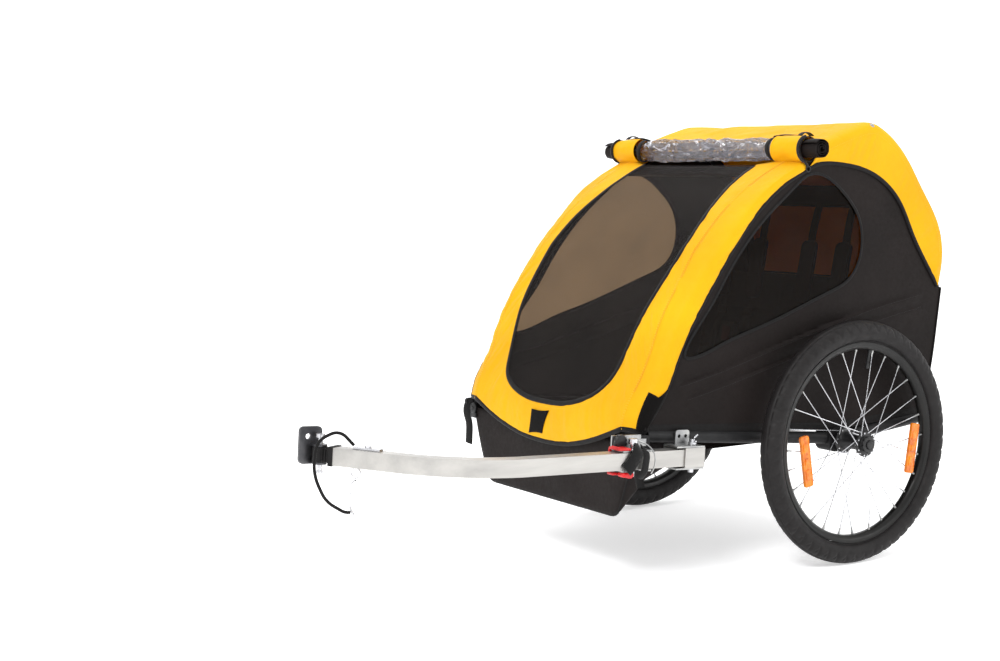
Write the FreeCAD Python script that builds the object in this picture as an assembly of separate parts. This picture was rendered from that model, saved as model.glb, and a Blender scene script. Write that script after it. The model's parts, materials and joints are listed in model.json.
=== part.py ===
import FreeCAD, Part
import math
import os

# Two-seat child bicycle trailer. Millimetres, +Z up, the front and the tow bar towards -X.
# The model is built about the point on the ground below the wheel axles, then moved by
# ORIGIN_SHIFT so that its origin lies at the bottom centre of its bounding box.

V = FreeCAD.Vector

# ---- driving dimensions -------------------------------------------------------------
TYRE_R = 250.0            # 20 inch wheel over the tyre
TYRE_W = 46.0
RIM_R = 207.0             # bead seat
WHEEL_Y = 352.0           # half of the track
AXLE_R = 6.0
FLANGE_R = 26.0
FLANGE_Z = 29.0
SPOKES = 28
SPOKE_R = 1.0

BODY_HALF = 303.0         # outer face of the cover's side edge, half width
CLOTH = 3.0               # modelled thickness of coated cloth
RAIL_R = 12.5
RAIL_Y = 296.0
HOOP_R = 11.0
HOOP_Y = 287.0
BAR = 32.0                # square tow bar
BAR_WALL = 2.5
BAR_SLOPE = 0.06          # the bar rises this much per unit forward
BAR_PLANE_Z = 232.0       # height of the bar's plane below the axle
RUN = 0.05                # radial running clearance
FRONT_END = -1142.8       # foremost point, on the hitch plate
REAR_END = 311.0          # rearmost point of the back cover
ORIGIN_SHIFT = -(FRONT_END + REAR_END) / 2.0

# outlines in the XZ plane, front to back
ARCH = [(-517, 324), (-478, 393), (-430, 499), (-365, 598), (-312, 669), (-250, 741), (-196, 785),
        (-131, 820)]
BACK = [(-76, 850), (-20, 874), (50, 896), (90, 902), (130, 886), (187, 839), (242, 766), (294, 688),
        (308, 622), (297, 556)]
CARGO = [(297, 553), (287, 481), (273, 391), (247, 290)]
FRONT_EDGE = [(-502, 318), (-459, 374), (-422, 453), (-354, 564), (-284, 660), (-213, 736), (-140, 786)]
REAR_EDGE = [(-83, 812), (-5, 816), (46, 808), (95, 791), (166, 734), (203, 671), (259, 590), (284, 556)]
WINDOW = [(-402, 442), (-351, 534), (-311, 591), (-261, 656), (-199, 717), (-137, 766), (-84, 797), (-42, 789),
          (12, 751), (47, 709), (58, 668), (53, 623), (28, 584), (-33, 555), (-120, 525), (-216, 494), (-309, 467),
          (-385, 443)]
SCREEN_HALF = [(0, 330), (100, 338), (165, 362), (200, 405), (216, 480), (222, 580), (224, 650), (214, 715),
               (193, 765)]
SCREEN_TOP = 790.0
APRON_HEM = [(-303, 324), (-213, 292), (-150, 270), (0, 254), (150, 270), (213, 292), (303, 324)]
HOOP = [(-496, 319), (-417, 494), (-300, 655), (-190, 766), (-98, 806), (70, 870), (172, 824), (284, 655),
        (268, 430), (229, 294)]
NOSE = [(-514, 132, 234), (-469, 201, 262), (-430, 223, 275), (-405, 235, 280)]
ROLL_X, ROLL_Z, ROLL_R = -103.5, 846.0, 23.4
SLEEVE_R = 24.8

# seat: its back leans, and a band across the top holds the shoulder straps
SEAT_FOOT = (78.0, 303.0)
SEAT_LEAN = 11.6
SEAT_HALF = 262.0
PAD_TOP = 282.0           # along the back, from its foot
BAND_FROM, BAND_TO = 420.0, 484.0
CHILD_Y = 132.0           # each child's middle
SHOULDER = 52.0
STRAP_HALF = 12.5

# tow bar, in its own plane
PIVOT_X = -412.0
LOCK_X = -565.0
PIN_R = 5.0
BAR_REAR = V(-399, -327.04, 0)
SLEEVE_ENDS = (-446.0, -395.0)
BAR_KNEE = V(-950, -371, 0)
BAR_TIP = V(-1092, -162, 0)
BEND_R = 220.0


# ---- helpers ------------------------------------------------------------------------
def box(x0, y0, z0, x1, y1, z1):
    return Part.makeBox(x1 - x0, y1 - y0, z1 - z0, V(x0, y0, z0))


def rod(start, end, radius, inner=0.0):
    a = V(*start)
    d = V(*end) - a
    solid = Part.makeCylinder(radius, d.Length, a, d)
    if inner:
        solid = solid.cut(Part.makeCylinder(inner, d.Length, a, d))
    return solid


def spline(points):
    curve = Part.BSplineCurve()
    curve.interpolate([V(x, 0, z) for x, z in points])
    return curve


def offset_points(points, distance):
    """The same points moved square to the outline; positive is to the left of travel, outwards."""
    curve = spline(points)
    moved = []
    for x, z in points:
        t = curve.tangent(curve.parameter(V(x, 0, z)))[0]
        moved.append((x - t.z * distance, z + t.x * distance))
    return moved


def wall(points, inner, outer, y0, y1):
    """A sheet that follows an XZ outline, between two offsets of it, from y0 to y1."""
    a = offset_points(points, inner)
    b = offset_points(points, outer)
    edges = [spline(a).toShape(), line_xz(a[-1], b[-1]), spline(b[::-1]).toShape(), line_xz(b[0], a[0])]
    face = Part.Face(Part.Wire(Part.__sortEdges__(edges)))
    face.translate(V(0, y0, 0))
    return face.extrude(V(0, y1 - y0, 0))


def line_xz(a, b):
    return Part.LineSegment(V(a[0], 0, a[1]), V(b[0], 0, b[1])).toShape()


def plate_xz(edges, y0, y1):
    face = Part.Face(Part.Wire(Part.__sortEdges__(edges)))
    face.translate(V(0, y0, 0))
    return face.extrude(V(0, y1 - y0, 0))


def polygon(points, direction):
    return Part.Face(Part.makePolygon([V(*p) for p in points + points[:1]])).extrude(V(*direction))


def bent_path(points):
    """Straight runs joined by arcs as large as the shorter run of each corner allows."""
    edges = []
    at = points[0]
    for i in range(1, len(points) - 1):
        back = points[i - 1] - points[i]
        ahead = points[i + 1] - points[i]
        half_turn = (math.pi - back.getAngle(ahead)) / 2.0
        reach = 0.45 * min(back.Length, ahead.Length)
        radius = reach / math.tan(half_turn)
        back.normalize()
        ahead.normalize()
        start = points[i] + back * reach
        end = points[i] + ahead * reach
        middle_dir = back + ahead
        middle_dir.normalize()
        middle = points[i] + middle_dir * (radius / math.cos(half_turn) - radius)
        edges.append(Part.LineSegment(at, start).toShape())
        edges.append(Part.Arc(start, middle, end).toShape())
        at = end
    edges.append(Part.LineSegment(at, points[-1]).toShape())
    return Part.Wire(edges)


def bent_rod(points, radius):
    path = bent_path(points)
    first = points[1] - points[0]
    circle = Part.Wire(Part.makeCircle(radius, points[0], first))
    return path.makePipeShell([circle], True, True)


def spin(profile):
    """A closed (radius, height) outline turned about Z."""
    face = Part.Face(Part.makePolygon([V(r, 0, z) for r, z in profile + profile[:1]]))
    return face.revolve(V(0, 0, 0), V(0, 0, 1), 360)


def both(shape):
    """A left-hand shape and its mirror image on the right."""
    return [shape, shape.mirror(V(0, 0, 0), V(0, 1, 0))]


def save(name, *solids):
    flat = []
    for shape in solids:
        flat += shape.Solids
    group = Part.makeCompound(flat) if len(flat) > 1 else flat[0]
    group.translate(V(ORIGIN_SHIFT, 0, 0))
    for solid in group.Solids:
        if not solid.isValid() or not solid.isClosed() or solid.Volume <= 0:
            print("bad solid in", name)
    group.exportStep("parts/" + name + ".step")
    return group


# ---- wheels -------------------------------------------------------------------------
def at_wheel(shape, side):
    """From the wheel's own frame, +Z outwards, to its place. side is -1 left, +1 right."""
    turned = shape.copy()
    turned.rotate(V(0, 0, 0), V(1, 0, 0), -90 * side)
    turned.translate(V(0, side * WHEEL_Y, TYRE_R))
    return turned


def tyre():
    half = TYRE_W / 2.0
    bead = 11.0
    widest = RIM_R + 21.0
    outer = Part.Arc(V(RIM_R, 0, bead), V(widest + 9, 0, half - 1.5), V(TYRE_R, 0, 0)).toShape()
    lower = Part.Arc(V(TYRE_R, 0, 0), V(widest + 9, 0, 1.5 - half), V(RIM_R, 0, -bead)).toShape()
    seat = Part.LineSegment(V(RIM_R, 0, -bead), V(RIM_R, 0, bead)).toShape()
    face = Part.Face(Part.Wire([outer, lower, seat]))
    return face.revolve(V(0, 0, 0), V(0, 0, 1), 360)


def rim():
    top = RIM_R - 0.1
    return spin([(top, -12), (top, 12), (198, 12), (191, 6), (191, -6), (198, -12)])


def spoke_set():
    """Crossed spokes: each flange holds half, pulled forwards and backwards in turn."""
    per_flange = SPOKES // 2
    step = 2 * math.pi / per_flange
    spokes = []
    for flange in (1, -1):
        for i in range(per_flange):
            rim_angle = step * (i + (0.5 if flange < 0 else 0.0))
            forward = 1 if i % 2 else -1
            hub_angle = rim_angle + forward * 2 * step
            hub_z = flange * FLANGE_Z + forward * 3.2
            start = (23 * math.cos(hub_angle), 23 * math.sin(hub_angle), hub_z)
            end = (190.2 * math.cos(rim_angle), 190.2 * math.sin(rim_angle), flange * 2.0)
            spokes.append(rod(start, end, SPOKE_R))
    return spokes


def hub_shell():
    """The barrel thins between its flanges, outside the bearing pockets."""
    outer = spin([(0, -34), (17, -34), (17, -31), (FLANGE_R, -30.5), (FLANGE_R, -27.5), (17, -26), (16, 0),
                  (17, 26), (FLANGE_R, 27.5), (FLANGE_R, 30.5), (17, 31), (17, 34), (0, 34)])
    bore = Part.makeCylinder(8, 80, V(0, 0, -40))
    pockets = [Part.makeCylinder(14, 14, V(0, 0, z)) for z in (-36, 22)]
    return outer.cut(bore).cut(pockets[0]).cut(pockets[1])


def bearings():
    ring = rod((0, 0, 0), (0, 0, 10), 13.97, AXLE_R + RUN)
    other = ring.copy()
    ring.translate(V(0, 0, 23))
    other.translate(V(0, 0, -33))
    return [ring, other]


def reflector(angle):
    """A curved-ended plate standing square to the radius."""
    length, width = 105.0, 22.0
    plate = box(-width / 2, -length / 2, 12, width / 2, length / 2, 19)
    plate = plate.makeFillet(4.0, [e for e in plate.Edges if abs(e.tangentAt(e.FirstParameter).z) > 0.9])
    plate.translate(V(152, 0, 0))
    plate.rotate(V(0, 0, 0), V(0, 0, 1), angle)
    return plate


def hub_cap():
    return spin([(8.6, 34.1), (15, 34.1), (15, 39), (13.5, 41), (8.6, 41)])


def stub_axle():
    """Hollow quick-release axle, from the frame socket out through the hub."""
    return rod((0, 0, -77), (0, 0, 35.5), AXLE_R, 3.0)


def release_button():
    stem = Part.makeCylinder(2.92, 100, V(0, 0, -60))
    head = spin([(0, 40), (8.2, 40), (8.2, 42.5), (6.5, 44.4), (0, 45)])
    return head.fuse(stem)


def build_wheel(side, name):
    save("tyre_" + name, at_wheel(tyre(), side))
    save("rim_" + name, at_wheel(rim(), side))
    save("spokes_" + name, *[at_wheel(s, side) for s in spoke_set()])
    save("hub_" + name, at_wheel(hub_shell(), side))
    save("hub_bearings_" + name, *[at_wheel(s, side) for s in bearings()])
    save("reflectors_" + name, at_wheel(reflector(189 * -side), side), at_wheel(reflector(9 * side), side))
    save("hub_cap_" + name, at_wheel(hub_cap(), side))
    save("release_button_" + name, at_wheel(release_button(), side))


# ---- frame --------------------------------------------------------------------------
def rail_z(x):
    """Centre height of the side rail: down to the axle socket, then up again to the back."""
    return 252 - 0.0953 * x if x < 0 else 252 + 0.0985 * x


def side_rail():
    front = rod((-500, -RAIL_Y, rail_z(-500)), (-33, -RAIL_Y, rail_z(-33)), RAIL_R, RAIL_R - 2)
    rear = rod((33, -RAIL_Y, rail_z(33)), (248, -RAIL_Y, rail_z(248)), RAIL_R, RAIL_R - 2)
    return [front, rear]


def axle_receiver():
    """Oval socket block between the two lengths of side rail."""
    block = box(-32.5, -312, 226, 32.5, -270, 276)
    block = block.makeFillet(18, [e for e in block.Edges if abs(e.tangentAt(e.FirstParameter).y) > 0.9])
    return block.cut(rod((0, -320, TYRE_R), (0, -260, TYRE_R), AXLE_R + 0.02))


def crossbars():
    inner = RAIL_Y - RAIL_R - 0.1
    places = [(-488, rail_z(-488)), (-140, 262), (72, 260), (236, rail_z(236))]
    return [rod((x, -inner, z), (x, inner, z), RAIL_R, RAIL_R - 2) for x, z in places]


def hoop():
    return bent_rod([V(x, -HOOP_Y, z) for x, z in HOOP], HOOP_R)


def top_tubes():
    inner = HOOP_Y - HOOP_R - 0.2
    places = [(-102, 800), (74, 856)]
    return [rod((x, -inner, z), (x, inner, z), HOOP_R, HOOP_R - 1.5) for x, z in places]


def hoop_bracket(x, z0, z1):
    """Cheek plate beside a hoop's foot, standing on the crossbar's end."""
    return box(x - 14, -275.6, z0, x + 14, -272.6, z1)


def front_corner_block():
    """Casting on the rail's front end; its outer cheek runs forward past the cover's corner."""
    block = box(-526, -314, 264, -502, -284, 304)
    block = block.makeFillet(7, [e for e in block.Edges if abs(e.tangentAt(e.FirstParameter).y) > 0.9])
    return block.cut(box(-560, -306.5, 250, -513.2, -260, 400))


# ---- cloth body ---------------------------------------------------------------------
def nose_section(x, bottom, half, grow):
    top = 286.0
    wide, low, z = 292 + grow, half + grow, bottom - grow
    pts = [V(x, -wide, top), V(x, -low, z), V(x, low, z), V(x, wide, top)]
    return Part.makePolygon(pts + [pts[0]])


def footwell():
    """Open tub for the feet; its sides lean in towards the bottom."""
    shell = Part.makeLoft([nose_section(x, z, y, 0) for x, z, y in NOSE], True, True)
    room = [(NOSE[0][0] + CLOTH, NOSE[0][1] + 4, NOSE[0][2])] + NOSE[1:]
    hollow = Part.makeLoft([nose_section(x, z + 3.5, y, -CLOTH) for x, z, y in room], True, True)
    tub = shell.cut(hollow)
    rail_clear = box(-520, -320, 262, -400, -279.5, 300)
    tub = tub.cut(rail_clear).cut(rail_clear.mirror(V(0, 0, 0), V(0, 1, 0)))
    return tub.cut(rod((-488, -300, rail_z(-488)), (-488, 300, rail_z(-488)), RAIL_R + 0.5))


def floor_panels():
    front = box(-404.5, -280, 255, -155, 280, 258)
    rear = box(86, -280, 268, 222, 280, 271)
    return [front, rear]


def side_panel(side):
    """Flat black panel with a tear-drop window, inside the cover's side edges."""
    lower_front = (-503, rail_z(-503) + 17)
    top = offset_points(ARCH, -1.0)
    back = offset_points(BACK, -1.0)
    cargo = offset_points(CARGO, -1.0)
    rail_line = [(244, rail_z(244) + 15), (33, 276), (-33, 276)]
    corners = [cargo[-1]] + rail_line + [lower_front, top[0]]
    edges = [spline(top).toShape(), line_xz(top[-1], back[0]), spline(back).toShape(), line_xz(back[-1], cargo[0]),
             spline(cargo).toShape()]
    edges += [line_xz(a, b) for a, b in zip(corners, corners[1:])]
    panel = plate_xz(edges, -302.5, -299.5)
    roll_room = rod((ROLL_X, -320, ROLL_Z), (ROLL_X, -290, ROLL_Z), SLEEVE_R + 0.5)
    panel = panel.cut(window_prism(0, -310, -290)).cut(roll_room)
    return panel if side < 0 else panel.mirror(V(0, 0, 0), V(0, 1, 0))


def window_prism(grow, y0, y1):
    points = WINDOW
    if grow:
        cx = sum(p[0] for p in points) / len(points)
        cz = sum(p[1] for p in points) / len(points)
        points = [(cx + (x - cx) * (1 + grow), cz + (z - cz) * (1 + grow)) for x, z in points]
    curve = Part.BSplineCurve()
    curve.interpolate([V(x, 0, z) for x, z in points], True)
    return plate_xz([curve.toShape()], y0, y1)


def side_window(side):
    pane = window_prism(0.03, -299.3, -298.3)
    return pane if side < 0 else pane.mirror(V(0, 0, 0), V(0, 1, 0))


def edge_strip(outline, edge):
    """The cover's turned-down side edge, from its crease to its binding."""
    outer = offset_points(outline, CLOTH)
    edges = [spline(outer).toShape(), line_xz(outer[-1], edge[-1]), spline(edge[::-1]).toShape(),
             line_xz(edge[0], outer[0])]
    return plate_xz(edges, -BODY_HALF - CLOTH, -BODY_HALF)


def screen_prism(grow):
    half = [(y + grow * (1 if y else 0), z + (0 if z > 350 else -grow)) for y, z in SCREEN_HALF]
    right = Part.BSplineCurve()
    right.interpolate([V(-600, y, z) for y, z in half])
    left = Part.BSplineCurve()
    left.interpolate([V(-600, -y, z) for y, z in half])
    top_y, top_z = half[-1]
    head = SCREEN_TOP + grow / 2
    ends = [V(-600, top_y, top_z), V(-600, top_y - 14, head), V(-600, 14 - top_y, head), V(-600, -top_y, top_z)]
    edges = [right.toShape(), Part.makePolygon(ends), left.toShape()]
    wires = Part.__sortEdges__(edges[0].Edges + edges[1].Edges + edges[2].Edges)
    return Part.Face(Part.Wire(wires)).extrude(V(520, 0, 0))


def apron():
    """The front cover's hem hangs over the footwell in a shallow U."""
    hem = Part.BSplineCurve()
    hem.interpolate([V(-520, y, z) for y, z in APRON_HEM])
    sides = [V(-520, 303, 312), V(-520, 303, 325.5), V(-520, -303, 325.5), V(-520, -303, 312)]
    wire = Part.Wire(Part.__sortEdges__([hem.toShape()] + Part.makePolygon(sides).Edges))
    return Part.Face(wire).extrude(V(3, 0, 0))


def front_cover():
    sheet = wall(ARCH, 0.0, CLOTH, -BODY_HALF, BODY_HALF).cut(screen_prism(0))
    strips = both(edge_strip(ARCH, FRONT_EDGE))
    cover = sheet.fuse([apron()] + strips)
    return cover.removeSplitter()


def front_screen():
    return wall(ARCH, -1.4, -0.4, -250, 250).common(screen_prism(11))


def rear_cover():
    sheet = wall(BACK, 0.0, CLOTH, -BODY_HALF, BODY_HALF)
    return sheet.fuse(both(edge_strip(BACK, REAR_EDGE))).removeSplitter()


def cargo_panel():
    return wall(CARGO, 0.0, CLOTH, -302, 302)


# ---- rolled rain shield -------------------------------------------------------------
def roll_piece(y0, y1, radius, inner=0.0):
    return rod((ROLL_X, y0, ROLL_Z), (ROLL_X, y1, ROLL_Z), radius, inner)


def build_roll():
    save("rolled_shield", roll_piece(-226, 226, ROLL_R))
    save("roll_sleeves", *both(roll_piece(-308, -226.5, SLEEVE_R, 20)))
    save("roll_ends", *both(roll_piece(-350, -240, 19.5)))
    save("roll_straps", *both(roll_piece(-224, -210, SLEEVE_R, ROLL_R + 0.1)))


# ---- seat ---------------------------------------------------------------------------
def on_back(shape):
    """From the seat back's own frame, -X forwards and +Z up along it, to its place."""
    leaned = shape.copy()
    leaned.rotate(V(0, 0, 0), V(0, 1, 0), SEAT_LEAN)
    leaned.translate(V(SEAT_FOOT[0], 0, SEAT_FOOT[1]))
    return leaned


def seat_back():
    """A padded lower part and the band above it, with a gap between them."""
    pad = box(-14, -SEAT_HALF, 4, 14, SEAT_HALF, PAD_TOP)
    pad = pad.makeFillet(9, [e for e in pad.Edges if abs(e.tangentAt(e.FirstParameter).x) < 0.1])
    band = box(-8, -SEAT_HALF, BAND_FROM, 8, SEAT_HALF, BAND_TO)
    band = band.makeFillet(5, [e for e in band.Edges if abs(e.tangentAt(e.FirstParameter).x) < 0.1])
    return [on_back(pad), on_back(band)]


def seat_base():
    pad = box(-168, -268, 275.2, 58, 268, 299)
    return pad.makeFillet(9, [e for e in pad.Edges if abs(e.tangentAt(e.FirstParameter).y) > 0.9])


def harness_straps():
    """For each child two shoulder straps, a crotch strap and two waist straps."""
    back, front = -14.5, -17.0
    straps = []
    for child in (-CHILD_Y, CHILD_Y):
        for y in (child - SHOULDER, child + SHOULDER):
            straps.append(on_back(box(front, y - STRAP_HALF, 120, back, y + STRAP_HALF, BAND_FROM + 10)))
        straps.append(on_back(box(front, child - STRAP_HALF, 8, back, child + STRAP_HALF, 92)))
        for waist in (-1, 1):
            a, b = sorted((child + waist * 24, child + waist * 100))
            straps.append(on_back(box(front, a, 96, back, b, 118)))
    return straps


def shoulder_pads():
    pads = []
    for child in (-CHILD_Y, CHILD_Y):
        for y in (child - SHOULDER, child + SHOULDER):
            pad = box(-29, y - 24, 210, -17.3, y + 24, 350)
            pads.append(on_back(pad.makeFillet(5, pad.Edges)))
    return pads


def harness_buckle(child):
    shell = box(-36, child - 22, 94, -17.3, child + 22, 150)
    shell = shell.makeFillet(5, [e for e in shell.Edges if abs(e.tangentAt(e.FirstParameter).x) > 0.9])
    return on_back(shell.cut(box(-40, child - 12.3, 106.7, -26, child + 12.3, 139.3)))


def buckle_button(child):
    return on_back(box(-37.5, child - 12, 107, -30, child + 12, 139))


# ---- tow bar and hitch --------------------------------------------------------------
REAR_DIR = (BAR_KNEE - BAR_REAR).normalize()
TIP_DIR = (BAR_TIP - BAR_KNEE).normalize()
HITCH = BAR_TIP + TIP_DIR * 34.0      # the hitch pin's place in the bar's plane


def bar_y(x):
    return BAR_REAR.y + (x - BAR_REAR.x) * REAR_DIR.y / REAR_DIR.x


def tilt(shape):
    """From the bar's flat plane to its place: the plane rises towards the front."""
    turned = shape.copy()
    turned.rotate(V(0, 0, 0), V(0, 1, 0), math.degrees(math.atan(BAR_SLOPE)))
    turned.translate(V(0, 0, BAR_PLANE_Z))
    return turned


def square_run(start, end, size):
    """A square bar between two points of the plane."""
    run = end - start
    bar = box(0, -size / 2, -size / 2, run.Length, size / 2, size / 2)
    bar.rotate(V(0, 0, 0), V(0, 0, 1), math.degrees(math.atan2(run.y, run.x)))
    bar.translate(start)
    return bar


def bar_solid(size, extra):
    half_turn = (math.pi - (BAR_REAR - BAR_KNEE).getAngle(BAR_TIP - BAR_KNEE)) / 2.0
    reach = BEND_R * math.tan(half_turn)
    bend_start = BAR_KNEE - REAR_DIR * reach
    bend_end = BAR_KNEE + TIP_DIR * reach
    inward = V(REAR_DIR.y, -REAR_DIR.x, 0)
    centre = bend_start + inward * BEND_R
    half = size / 2
    square = ((-half, -half), (half, -half), (half, half), (-half, half), (-half, -half))
    face = Part.Face(Part.makePolygon([bend_start + inward * a + V(0, 0, b) for a, b in square]))
    bend = face.revolve(centre, V(0, 0, -1), math.degrees(2 * half_turn))
    rear = square_run(BAR_REAR - REAR_DIR * extra, bend_start, size)
    front = square_run(bend_end, BAR_TIP + TIP_DIR * extra, size)
    return rear.fuse([bend, front]).removeSplitter()


def pin_bore(x):
    """What a pin through the bar at x needs cut away."""
    return rod((x, bar_y(x), -30), (x, bar_y(x), 30), PIN_R + RUN)


def tow_bar():
    bar = bar_solid(BAR, 0).cut(bar_solid(BAR - 2 * BAR_WALL, 1))
    holes = [pin_bore(x) for x in (PIVOT_X, LOCK_X)]
    return tilt(bar.cut(holes[0]).cut(holes[1]))


def tow_swivel():
    """Square sleeve round the bar's rear end; it turns on the pivot pin with the bar."""
    start, end = [V(x, bar_y(x), 0) for x in SLEEVE_ENDS]
    sleeve = square_run(start, end, 38)
    sleeve = sleeve.cut(square_run(start + REAR_DIR * 2, BAR_REAR - REAR_DIR * 0.2, BAR + 0.2))
    return tilt(sleeve.cut(pin_bore(PIVOT_X)))


def rear_bracket():
    y = bar_y(PIVOT_X)
    top = box(-464, y - 19, 19.4, -396, -309.2, 22.4)
    bottom = box(-464, y - 19, -22.4, -396, -305.5, -19.4)
    web = box(-464, -308.6, -22.4, -442, -305.6, 22.4)
    crown = 49.0
    upright = box(-441, -312.2, 19.4, -407, -309.2, crown)
    upright = upright.makeFillet(6, [upright.Edges[i] for i in far_edges(upright, crown)])
    joggle = box(-464, -312.2, 19.4, -442, -305.6, 22.4)
    shape = top.fuse([web, bottom, joggle, upright])
    for x in (-432, -416):
        shape = shape.cut(rod((x, -330, 37), (x, -300, 37), 3.5))
    return tilt(shape.cut(rod((PIVOT_X, y, -30), (PIVOT_X, y, 30), PIN_R + 0.02)).removeSplitter())


def far_edges(shape, z):
    """Indices of the edges along Y at height z."""
    found = []
    for i, e in enumerate(shape.Edges):
        if abs(e.tangentAt(e.FirstParameter).y) > 0.9 and abs(e.CenterOfMass.z - z) < 0.01:
            found.append(i)
    return found


def pivot_pin():
    y = bar_y(PIVOT_X)
    shank = rod((PIVOT_X, y, -31), (PIVOT_X, y, 33), PIN_R)
    head = rod((PIVOT_X, y, 22.5), (PIVOT_X, y, 27), 8)
    bends = ((-1, -12, 30), (0, 0, 30), (9, 8, 33), (20, 9, 40))
    clip = bent_rod([V(PIVOT_X + along, y + out, z) for along, out, z in bends], 1.6)
    return tilt(shank.fuse([head, clip]))


def front_bracket():
    """Channel open to the outside; the bar swings out of it."""
    y = bar_y(LOCK_X)
    top = box(-600, y - 17, 17, -532, -317.2, 20)
    bottom = box(-600, y - 17, -20, -532, -317.2, -17)
    back = box(-600, -321.2, -20, -532, -317.2, 44)
    arm = box(-545, -321.2, 22, -519, -314.2, 36)
    slot = box(-574.5, y - 30, -40, -549, y + 9.5, 40)
    return tilt(top.fuse([bottom, back, arm]).cut(slot).removeSplitter())


def lock_pin():
    y = bar_y(LOCK_X)
    shank = rod((LOCK_X, y, -31), (LOCK_X, y, 34), PIN_R)
    knob = rod((LOCK_X, y, 30), (LOCK_X, y, 40), 9)
    collar = rod((LOCK_X, y, 17.2), (LOCK_X, y, 20.5), 8)
    return tilt(shank.fuse([knob, collar]))


def latch_clip():
    """Plastic saddle clipped over the channel's front end."""
    y = bar_y(-606)
    front, back, low_back = -612, -584, -574
    top = box(front, y - 18, 20.1, back, y + 16, 24)
    low = box(front, y - 18, -30, low_back, y + 14, -20.1)
    side = box(front, y + 16.6, -30, -600.2, y + 20, 24)
    joint = box(front, y + 13, 20.1, -600.2, y + 20, 24).fuse(box(front, y + 13, -30, -600.2, y + 20, -20.1))
    return tilt(top.fuse([low, side, joint]).removeSplitter())


def flex_joint():
    """Rubber end: a plug inside the bar, a collar, a waist and the eye for the hitch pin."""
    plug = square_run(BAR_TIP - TIP_DIR * 24, BAR_TIP, BAR - 2 * BAR_WALL - 0.3)
    collar = square_run(BAR_TIP + TIP_DIR * 0.2, BAR_TIP + TIP_DIR * 9, BAR + 3)
    waist = square_run(BAR_TIP - TIP_DIR * 1, HITCH, 22)
    eye = rod((HITCH.x, HITCH.y, -13), (HITCH.x, HITCH.y, 13), 14)
    bore = rod((HITCH.x, HITCH.y, -20), (HITCH.x, HITCH.y, 20), 4.5 + RUN)
    return tilt(plug.fuse([collar, waist, eye]).cut(bore))


def hitch_pin():
    shank = rod((HITCH.x, HITCH.y, -34), (HITCH.x, HITCH.y, 34), 4.5)
    head = rod((HITCH.x, HITCH.y, 30), (HITCH.x, HITCH.y, 37), 8)
    foot = rod((HITCH.x, HITCH.y, -34), (HITCH.x, HITCH.y, -30), 6.5)
    return tilt(shank.fuse([head, foot]))


def hitch_plate():
    """Fork over the rubber eye and an upright plate that goes on the bicycle's axle."""
    x, y = HITCH.x, HITCH.y
    shape = None
    for z0, z1 in ((14, 18), (-18, -14)):
        disc = rod((x, y, z0), (x, y, z1), 13)
        arm = box(x - 12, y, z0, x + 12, y + 22, z1)
        leaf = disc.fuse(arm).cut(rod((x, y, -40), (x, y, 40), 4.5 + RUN))
        shape = leaf if shape is None else shape.fuse(leaf)
    upright = box(-1144.2, y + 17, -20, x + 12, y + 23, 48)
    upright = upright.makeFillet(9, [e for e in upright.Edges if abs(e.tangentAt(e.FirstParameter).y) > 0.9])
    shape = shape.fuse(upright)
    return tilt(shape.cut(rod((-1127, y, 30), (-1127, y + 40, 30), 5.2)).removeSplitter())


def strap_anchor():
    at = BAR_TIP - TIP_DIR * 62
    plate = square_run(at - TIP_DIR * 26, at + TIP_DIR * 26, 14).common(box(-2000, -2000, -2, 2000, 2000, 2))
    plate.translate(V(0, 0, 18.2))
    screw = rod((at.x, at.y, 20.2), (at.x, at.y, 24), 6)
    return tilt(plate.fuse(screw))


def snap_hook():
    """Ring under the bar and the long snap hook that hangs from it."""
    at = BAR_TIP - TIP_DIR * 40
    return tilt(Part.makeTorus(9, 1.6, V(at.x, at.y, -27), V(TIP_DIR.y, -TIP_DIR.x, 0)))


def hook_body():
    at = BAR_TIP - TIP_DIR * 40
    top = V(at.x, at.y, -39.8)
    drops = ((0, 0), (9, -8), (9, -52), (0, -62))
    return tilt(bent_rod([top + TIP_DIR * along + V(0, 0, z) for along, z in drops], 2.0))


def safety_strap():
    start = BAR_TIP - TIP_DIR * 34 + V(0, 0, 22)
    side = V(TIP_DIR.y, -TIP_DIR.x, 0)
    loop = ((0, 0, 0), (26, -8, 26), (58, -34, 6), (56, -44, -52), (34, -34, -100), (8, -12, -119), (1, -3, -120))
    return tilt(bent_rod([start + TIP_DIR * along + side * out + V(0, 0, z) for along, out, z in loop], 3.0))


# ---- build --------------------------------------------------------------------------
def build_frame():
    save("side_rail_left", *side_rail())
    save("side_rail_right", *[both(r)[1] for r in side_rail()])
    save("axle_receivers", *both(axle_receiver()))
    save("crossbars", *crossbars())
    save("hoop_left", hoop())
    save("hoop_right", both(hoop())[1])
    save("top_tubes", *top_tubes())
    save("hoop_brackets", *(both(hoop_bracket(-468, 312.5, 356)) + both(hoop_bracket(224, 289, 352))))
    save("front_corner_blocks", *both(front_corner_block()))
    save("wheel_axles", at_wheel(stub_axle(), -1), at_wheel(stub_axle(), 1))


def build_body():
    save("footwell", footwell())
    save("floor_panels", *floor_panels())
    for side, name in ((-1, "left"), (1, "right")):
        save("side_panel_" + name, side_panel(side))
        save("side_window_" + name, side_window(side))
    save("rear_cover", rear_cover())
    save("cargo_panel", cargo_panel())
    save("front_cover", front_cover())
    save("front_screen", front_screen())


def build_seat():
    save("seat_base", seat_base())
    save("seat_back", *seat_back())
    save("harness_straps", *harness_straps())
    save("shoulder_pads", *shoulder_pads())
    save("harness_buckles", harness_buckle(-CHILD_Y), harness_buckle(CHILD_Y))
    save("buckle_button_left", buckle_button(-CHILD_Y))
    save("buckle_button_right", buckle_button(CHILD_Y))


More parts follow.
